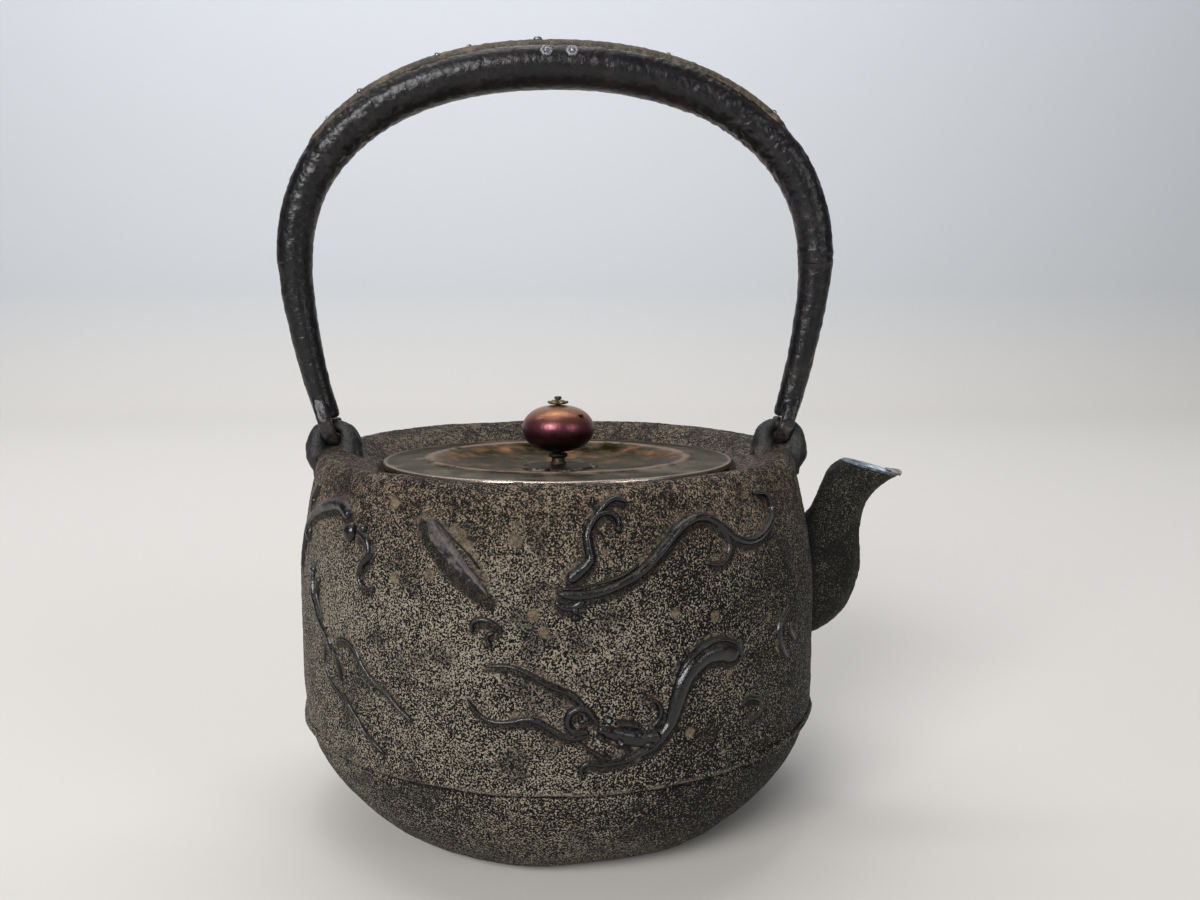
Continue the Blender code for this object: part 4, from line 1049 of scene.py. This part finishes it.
nail_sets, washer_sets = [], []
for t, lean, head in STUDS:
    washer = lean > ON_WASHER
    seat, way = on_bow(t, lean, 0.05 if washer else 0.55)
    place = Matrix.Translation(seat) @ Vector(way).to_track_quat("Z", "Y").to_matrix().to_4x4()
    lift = 0.35 if washer else 0.0
    dome = [(head * cos(a), lift + head * 0.85 * sin(a)) for a in np.linspace(0, pi / 2 * 0.97, 7)]
    nail_sets.append(turned(place, [(0.6, -3), (0.6, lift)] + dome, 20))
    if washer:
        flat_nut = [(2.1, -0.6), (2.15, 0.25), (1.95, 0.5), (1.05, 0.5), (1.0, 0.15)]
        washer_sets.append(turned(place, flat_nut, 36, hexagon))
silver = tarnished("nail_silver", 0.9, 0.8, (0.10, 0.105, 0.12), (0.36, 0.38, 0.41), 0.58, 0.28, bump_mm=0.08)
piece("seam_nails", joined("seam_nails", nail_sets), silver, "handle", "stud_silver",
      *[f"stud_{n}" for n in range(1, 10)])
dull = tarnished("washer_silver", 0.55, 0.6, (0.07, 0.065, 0.075), (0.30, 0.29, 0.32), 0.60, 0.40)
piece("nail_washers", joined("nail_washers", washer_sets), dull, "handle", "stud_silver",
      "stud_6_washer", "stud_7_washer")


# ------------------------------------------------------------------ lid
# Turned bronze lid, patinated green-black, with a raised bead and a shallow dish worn back to
# copper. It rests on the seat inside the throat and sits a little high at the front.
LID_R, LID_THICK, BEAD_R, BEAD_HALF, DISH_R, DISH_DEEP = 56.2, 1.6, 41.7, 2.0, 30.0, 3.6
LID_TIP, LID_GAP = radians(1.5), 0.3
LID_EDGE_Z = LEDGE_Z + LID_GAP + LID_THICK + LID_R * sin(LID_TIP)
TIPPED = Matrix.Translation((0, 0, LID_EDGE_Z)) @ Matrix.Rotation(-LID_TIP, 4, "X")


def spun(name, profile, sides=128, closed=True, outline=None):
    """Turned piece about the lid's tipped axis."""
    mesh = grid_mesh(name, turned(TIPPED, profile, sides, outline), wrap_rows=closed)
    mesh.set_sharp_from_angle(angle=radians(50))
    return mesh


def lid_top(r):
    if r > BEAD_R + BEAD_HALF:
        return 0.45 * (LID_R - r) / (LID_R - BEAD_R)
    if r > BEAD_R - BEAD_HALF:
        return 0.4 + 0.5 * cos((r - BEAD_R) / BEAD_HALF * pi / 2)
    s = min((BEAD_R - BEAD_HALF - r) / (BEAD_R - BEAD_HALF - DISH_R), 1)
    sunk = -DISH_DEEP * 0.45 * (1 - cos(pi * s)) / 2
    return 0.4 * (1 - s) + sunk - DISH_DEEP * 0.55 * max(1 - r / DISH_R, 0) ** 0.7 * (s >= 1)


UNDERSIDE, PIN_HOLE_R = -DISH_DEEP - LID_THICK, 1.3
lid_line = [(LID_R - 0.15, -LID_THICK), (LID_R, -LID_THICK + 0.3), (LID_R, -0.35), (LID_R - 0.12, -0.1)]
lid_line += [(r, max(lid_top(r), -DISH_DEEP)) for r in np.linspace(LID_R - 0.4, PIN_HOLE_R, 90)]
lid_line += [(PIN_HOLE_R, UNDERSIDE), (13, UNDERSIDE), (DISH_R, lid_top(DISH_R) - LID_THICK),
             (BEAD_R - 4, -LID_THICK)]
lid_mesh = spun("lid_disc", lid_line, sides=200)
roughen(lid_mesh, (16, 0.12), (5, 0.04))


def lid_patina():
    skin = Finish("lid_patina", Metallic=1.0, Specular_Tint=(0.46, 0.43, 0.38))
    r = skin.radius()
    cloud = skin.noise(14, 4, 0.6)
    blotch = skin.noise(7, 3, 0.6)
    rubs = skin.noise(1.2, 3, 0.65)
    outer = skin.ramp(cloud, (0.38, (0.034, 0.035, 0.030)), (0.52, (0.125, 0.116, 0.098)),
                      (0.66, (0.36, 0.31, 0.25)))
    dish = skin.ramp(cloud * 0.6 + blotch * 0.4, (0.40, (0.026, 0.025, 0.020)), (0.52, (0.105, 0.094, 0.070)),
                     (0.58, (0.24, 0.13, 0.078)), (0.66, (0.50, 0.23, 0.13)))
    colour = skin.mix(1 - r.between(BEAD_R - 3.5, BEAD_R - 1.5), outer, dish)
    # Painted highlight along the bead.
    bead = r.between(BEAD_R - 2.2, BEAD_R - 0.8) - r.between(BEAD_R + 0.4, BEAD_R + 1.6)
    colour = skin.mix(bead * blotch.between(0.30, 0.5) * 0.8, colour, (0.60, 0.39, 0.30))
    # Painted highlight along the outer rim.
    rim = r.between(LID_R - 1.8, LID_R - 0.6)
    colour = skin.mix(rim * 0.8, colour, (0.62, 0.52, 0.44))
    return skin.finish(colour, roughness=0.16 + rubs * 0.16 + blotch * 0.12,
                       bump=rubs * 0.4 + blotch, bump_mm=0.22)


piece("lid_disc", lid_mesh, lid_patina(), "lid", "lid_bronze", "lid_plate")

SKIRT_R, SKIRT_DEEP, SKIRT_WALL = MOUTH_R - 1.8, 8, 1.6
skirt_low, skirt_top = -LID_THICK - SKIRT_DEEP, -LID_THICK - 0.1
skirt_line = [(SKIRT_R, skirt_top), (SKIRT_R, skirt_low + 0.4), (SKIRT_R - 0.4, skirt_low),
              (SKIRT_R - SKIRT_WALL + 0.4, skirt_low), (SKIRT_R - SKIRT_WALL, skirt_low + 0.4),
              (SKIRT_R - SKIRT_WALL, skirt_top)]
skirt = tarnished("skirt_patina", 0.7, 4, (0.030, 0.026, 0.020), (0.115, 0.080, 0.050), 0.62, 0.35,
                  bump_mm=0.1, detail=4)
piece("lid_flange", spun("lid_flange", skirt_line, sides=160), skirt, "lid", "lid_bronze", "lid_skirt")


# ------------------------------------------------------------------ knob
# Hollow copper fruit of two spun halves soldered at the widest ring, on a bronze neck, collar
# and five-petalled seat. One pin goes through everything and is clinched under the lid.
KNOB_R, KNOB_HALF, KNOB_WALL = 11.7, 7.6, 1.0
SEAT_R, SEAT_THICK, NECK_HIGH, COLLAR_HIGH, FLOWER_R, BORE_R, JOINT = 13.3, 1.0, 2.0, 1.6, 3.4, 1.1, 0.3
SEAT_BASE = -DISH_DEEP + JOINT
NECK_BASE = SEAT_BASE + SEAT_THICK + JOINT
COLLAR = NECK_BASE + NECK_HIGH
EQUATOR = COLLAR + COLLAR_HIGH + JOINT + KNOB_HALF
FLOWER_BASE = EQUATOR + KNOB_HALF + JOINT


def shell_line(sign, steps=34):
    """Half of the knob's shell, from the widest ring to the bore and back inside."""
    skin = [(KNOB_R * cos(a) ** 0.85, EQUATOR + sign * KNOB_HALF * sin(a))
            for a in np.linspace(0, pi / 2 * 0.93, steps)]
    skin.append((BORE_R, EQUATOR + sign * (KNOB_HALF + 0.02)))
    shrink = 1 - KNOB_WALL / KNOB_HALF
    return skin + [(max(r - KNOB_WALL, BORE_R), EQUATOR + (z - EQUATOR) * shrink) for r, z in reversed(skin)]


def knob_copper(name):
    skin = Finish(name, Metallic=0.85)
    cloud = skin.noise(6, 4, 0.6)
    fine = skin.noise(0.9, 3, 0.6)
    # The colour runs from near-black under the widest ring, as painted shade, through purple to orange-brown
    # at the top.
    level = (skin.height() - (LID_EDGE_Z + EQUATOR)) * (1 / KNOB_HALF) + (cloud - 0.5) * 0.7
    colour = skin.ramp(level * 0.5 + 0.5, (0.12, (0.020, 0.013, 0.013)), (0.40, (0.050, 0.018, 0.022)),
                       (0.56, (0.145, 0.045, 0.062)), (0.70, (0.215, 0.075, 0.066)),
                       (0.90, (0.29, 0.135, 0.065)))
    colour = skin.mix(fine.between(0.55, 0.75) * 0.4, colour, (0.060, 0.030, 0.024))
    return skin.finish(colour, roughness=0.24 + fine * 0.14 + cloud * 0.08, bump=fine + cloud, bump_mm=0.08)


low_shell = spun("knob_lower_half", shell_line(-1), sides=112)
piece("knob_lower_half", low_shell, knob_copper("knob_copper_low"), "knob", "knob_copper", "knob_lower_shell")

top_shell = spun("knob_upper_half", shell_line(1), sides=112)
vent_way = TIPPED @ Matrix.Translation((0, 0, EQUATOR)) @ Matrix.Rotation(radians(-40), 4, "Z")
vent_way = vent_way @ Matrix.Rotation(radians(66), 4, "Y")
heart = []
for deep in (5.5, 14.0):
    ring = []
    for t in ring_angles(28):
        long = 0.9 * cos(t) - 0.36 * cos(2 * t) - 0.14 * cos(3 * t) - 0.07 * cos(4 * t)
        ring.append(vent_way @ Vector((-long, 1.15 * sin(t) ** 3, deep)))
    heart.append(ring)
heart_tool = in_scene("heart_punch", grid_mesh("heart_punch", heart))
shell_holder = in_scene("shell_blank", top_shell)
punch = shell_holder.modifiers.new("vent", "BOOLEAN")
punch.operation = "DIFFERENCE"
punch.solver = "EXACT"
punch.object = heart_tool
pierced = evaluated(shell_holder)
bpy.data.objects.remove(heart_tool, do_unlink=True)
pierced.set_sharp_from_angle(angle=radians(45))
piece("knob_upper_half", pierced, knob_copper("knob_copper_top"), "knob", "knob_copper", "knob_upper_shell")


def dark_bronze(name, chips=False):
    skin = Finish(name, Metallic=0.6, Specular_IOR_Level=0.2, Specular_Tint=(0.5, 0.48, 0.42))
    cloud = skin.noise(3, 4, 0.6)
    fine = skin.noise(0.7, 3, 0.6)
    colour = skin.ramp(cloud * 0.6 + fine * 0.4, (0.38, (0.013, 0.011, 0.010)), (0.60, (0.065, 0.050, 0.034)))
    if chips:
        edge = skin.radius().between(9.5, 12.2) * skin.noise(2.4, 2, 0.5).between(0.53, 0.60)
        colour = skin.mix(edge * 0.8, colour, (0.30, 0.26, 0.20))
    return skin.finish(colour, roughness=0.36 + fine * 0.25, bump=fine + cloud, bump_mm=0.12)


def petals(count, deep, full_r):
    """Outline of a flower whose petals part towards its edge."""
    return lambda t, r: 1 - deep * (1 - abs(cos(count / 2 * t)) ** 0.8) * min(r / full_r, 1) ** 2


seat_top = SEAT_BASE + SEAT_THICK - 0.05
seat_line = [(BORE_R, seat_top)]
seat_line += [(r, seat_top - 0.25 * (r / SEAT_R) ** 2) for r in np.linspace(2, 12.6, 16)]
seat_line += [(SEAT_R - 0.2, SEAT_BASE + 0.55), (SEAT_R, SEAT_BASE + 0.3), (SEAT_R - 0.2, SEAT_BASE),
              (BORE_R, SEAT_BASE)]
seat_mesh = spun("petal_seat", seat_line, sides=160, outline=petals(5, 0.30, SEAT_R))
piece("petal_seat", seat_mesh, dark_bronze("seat_bronze", chips=True), "lid", "seat_bronze", "knob_seat")

neck_line = [(BORE_R, NECK_BASE), (2.7, NECK_BASE), (2.6, NECK_BASE + 0.3), (2.15, NECK_BASE + 0.9)]
neck_line.append((2.1, COLLAR))
neck_line += [(2.1 + sin(a), COLLAR + 0.8 - 0.8 * cos(a)) for a in np.linspace(0.3, pi - 0.3, 12)]
neck_line += [(2.2, COLLAR + COLLAR_HIGH), (BORE_R, COLLAR + COLLAR_HIGH)]
piece("knob_neck_turning", spun("knob_neck_turning", neck_line, sides=64), dark_bronze("neck_bronze"),
      "knob", "seat_bronze", "knob_neck")

flower_line = [(BORE_R, 0), (2.6, 0), (3.3, 0.35), (FLOWER_R, 0.7), (3.2, 1.0), (2.4, 1.05), (1.8, 1.35),
               (BORE_R, 1.4)]
flower_line = [(r, FLOWER_BASE + z) for r, z in flower_line]
brass = tarnished("flower_brass", 0.85, 0.8, (0.085, 0.062, 0.030), (0.30, 0.235, 0.125), 0.60, 0.34,
                  bump_mm=0.1)
flower_mesh = spun("knob_flower", flower_line, sides=96, outline=petals(6, 0.24, FLOWER_R))
piece("knob_flower", flower_mesh, brass, "knob", "flower_brass", "knob_top_flower")

pin_top = FLOWER_BASE + 1.7
clinch = UNDERSIDE - JOINT
pin_line = [(1.35, clinch - 2.2), (1.5, clinch - 1.4), (0.8, clinch - 1.3), (0.8, pin_top), (1.2, pin_top),
            (1.2, pin_top + 0.5), (0.9, pin_top + 0.78), (0.3, pin_top + 0.8)]
pin_mesh = spun("knob_pin_turning", pin_line, sides=32, closed=False)
piece("knob_pin_turning", pin_mesh, dark_bronze("pin_bronze"), "knob", "seat_bronze", "knob_pin")
washer_line = [(BORE_R, 0), (BORE_R, -1), (4.4, -1), (4.5, -0.8), (4.5, -0.1), (4.4, 0)]
washer_line = [(r, clinch + z) for r, z in washer_line]
piece("clinch_disc", spun("clinch_disc", washer_line, sides=48), dark_bronze("clinch_bronze"),
      "knob", "seat_bronze", "knob_clinch_washer")
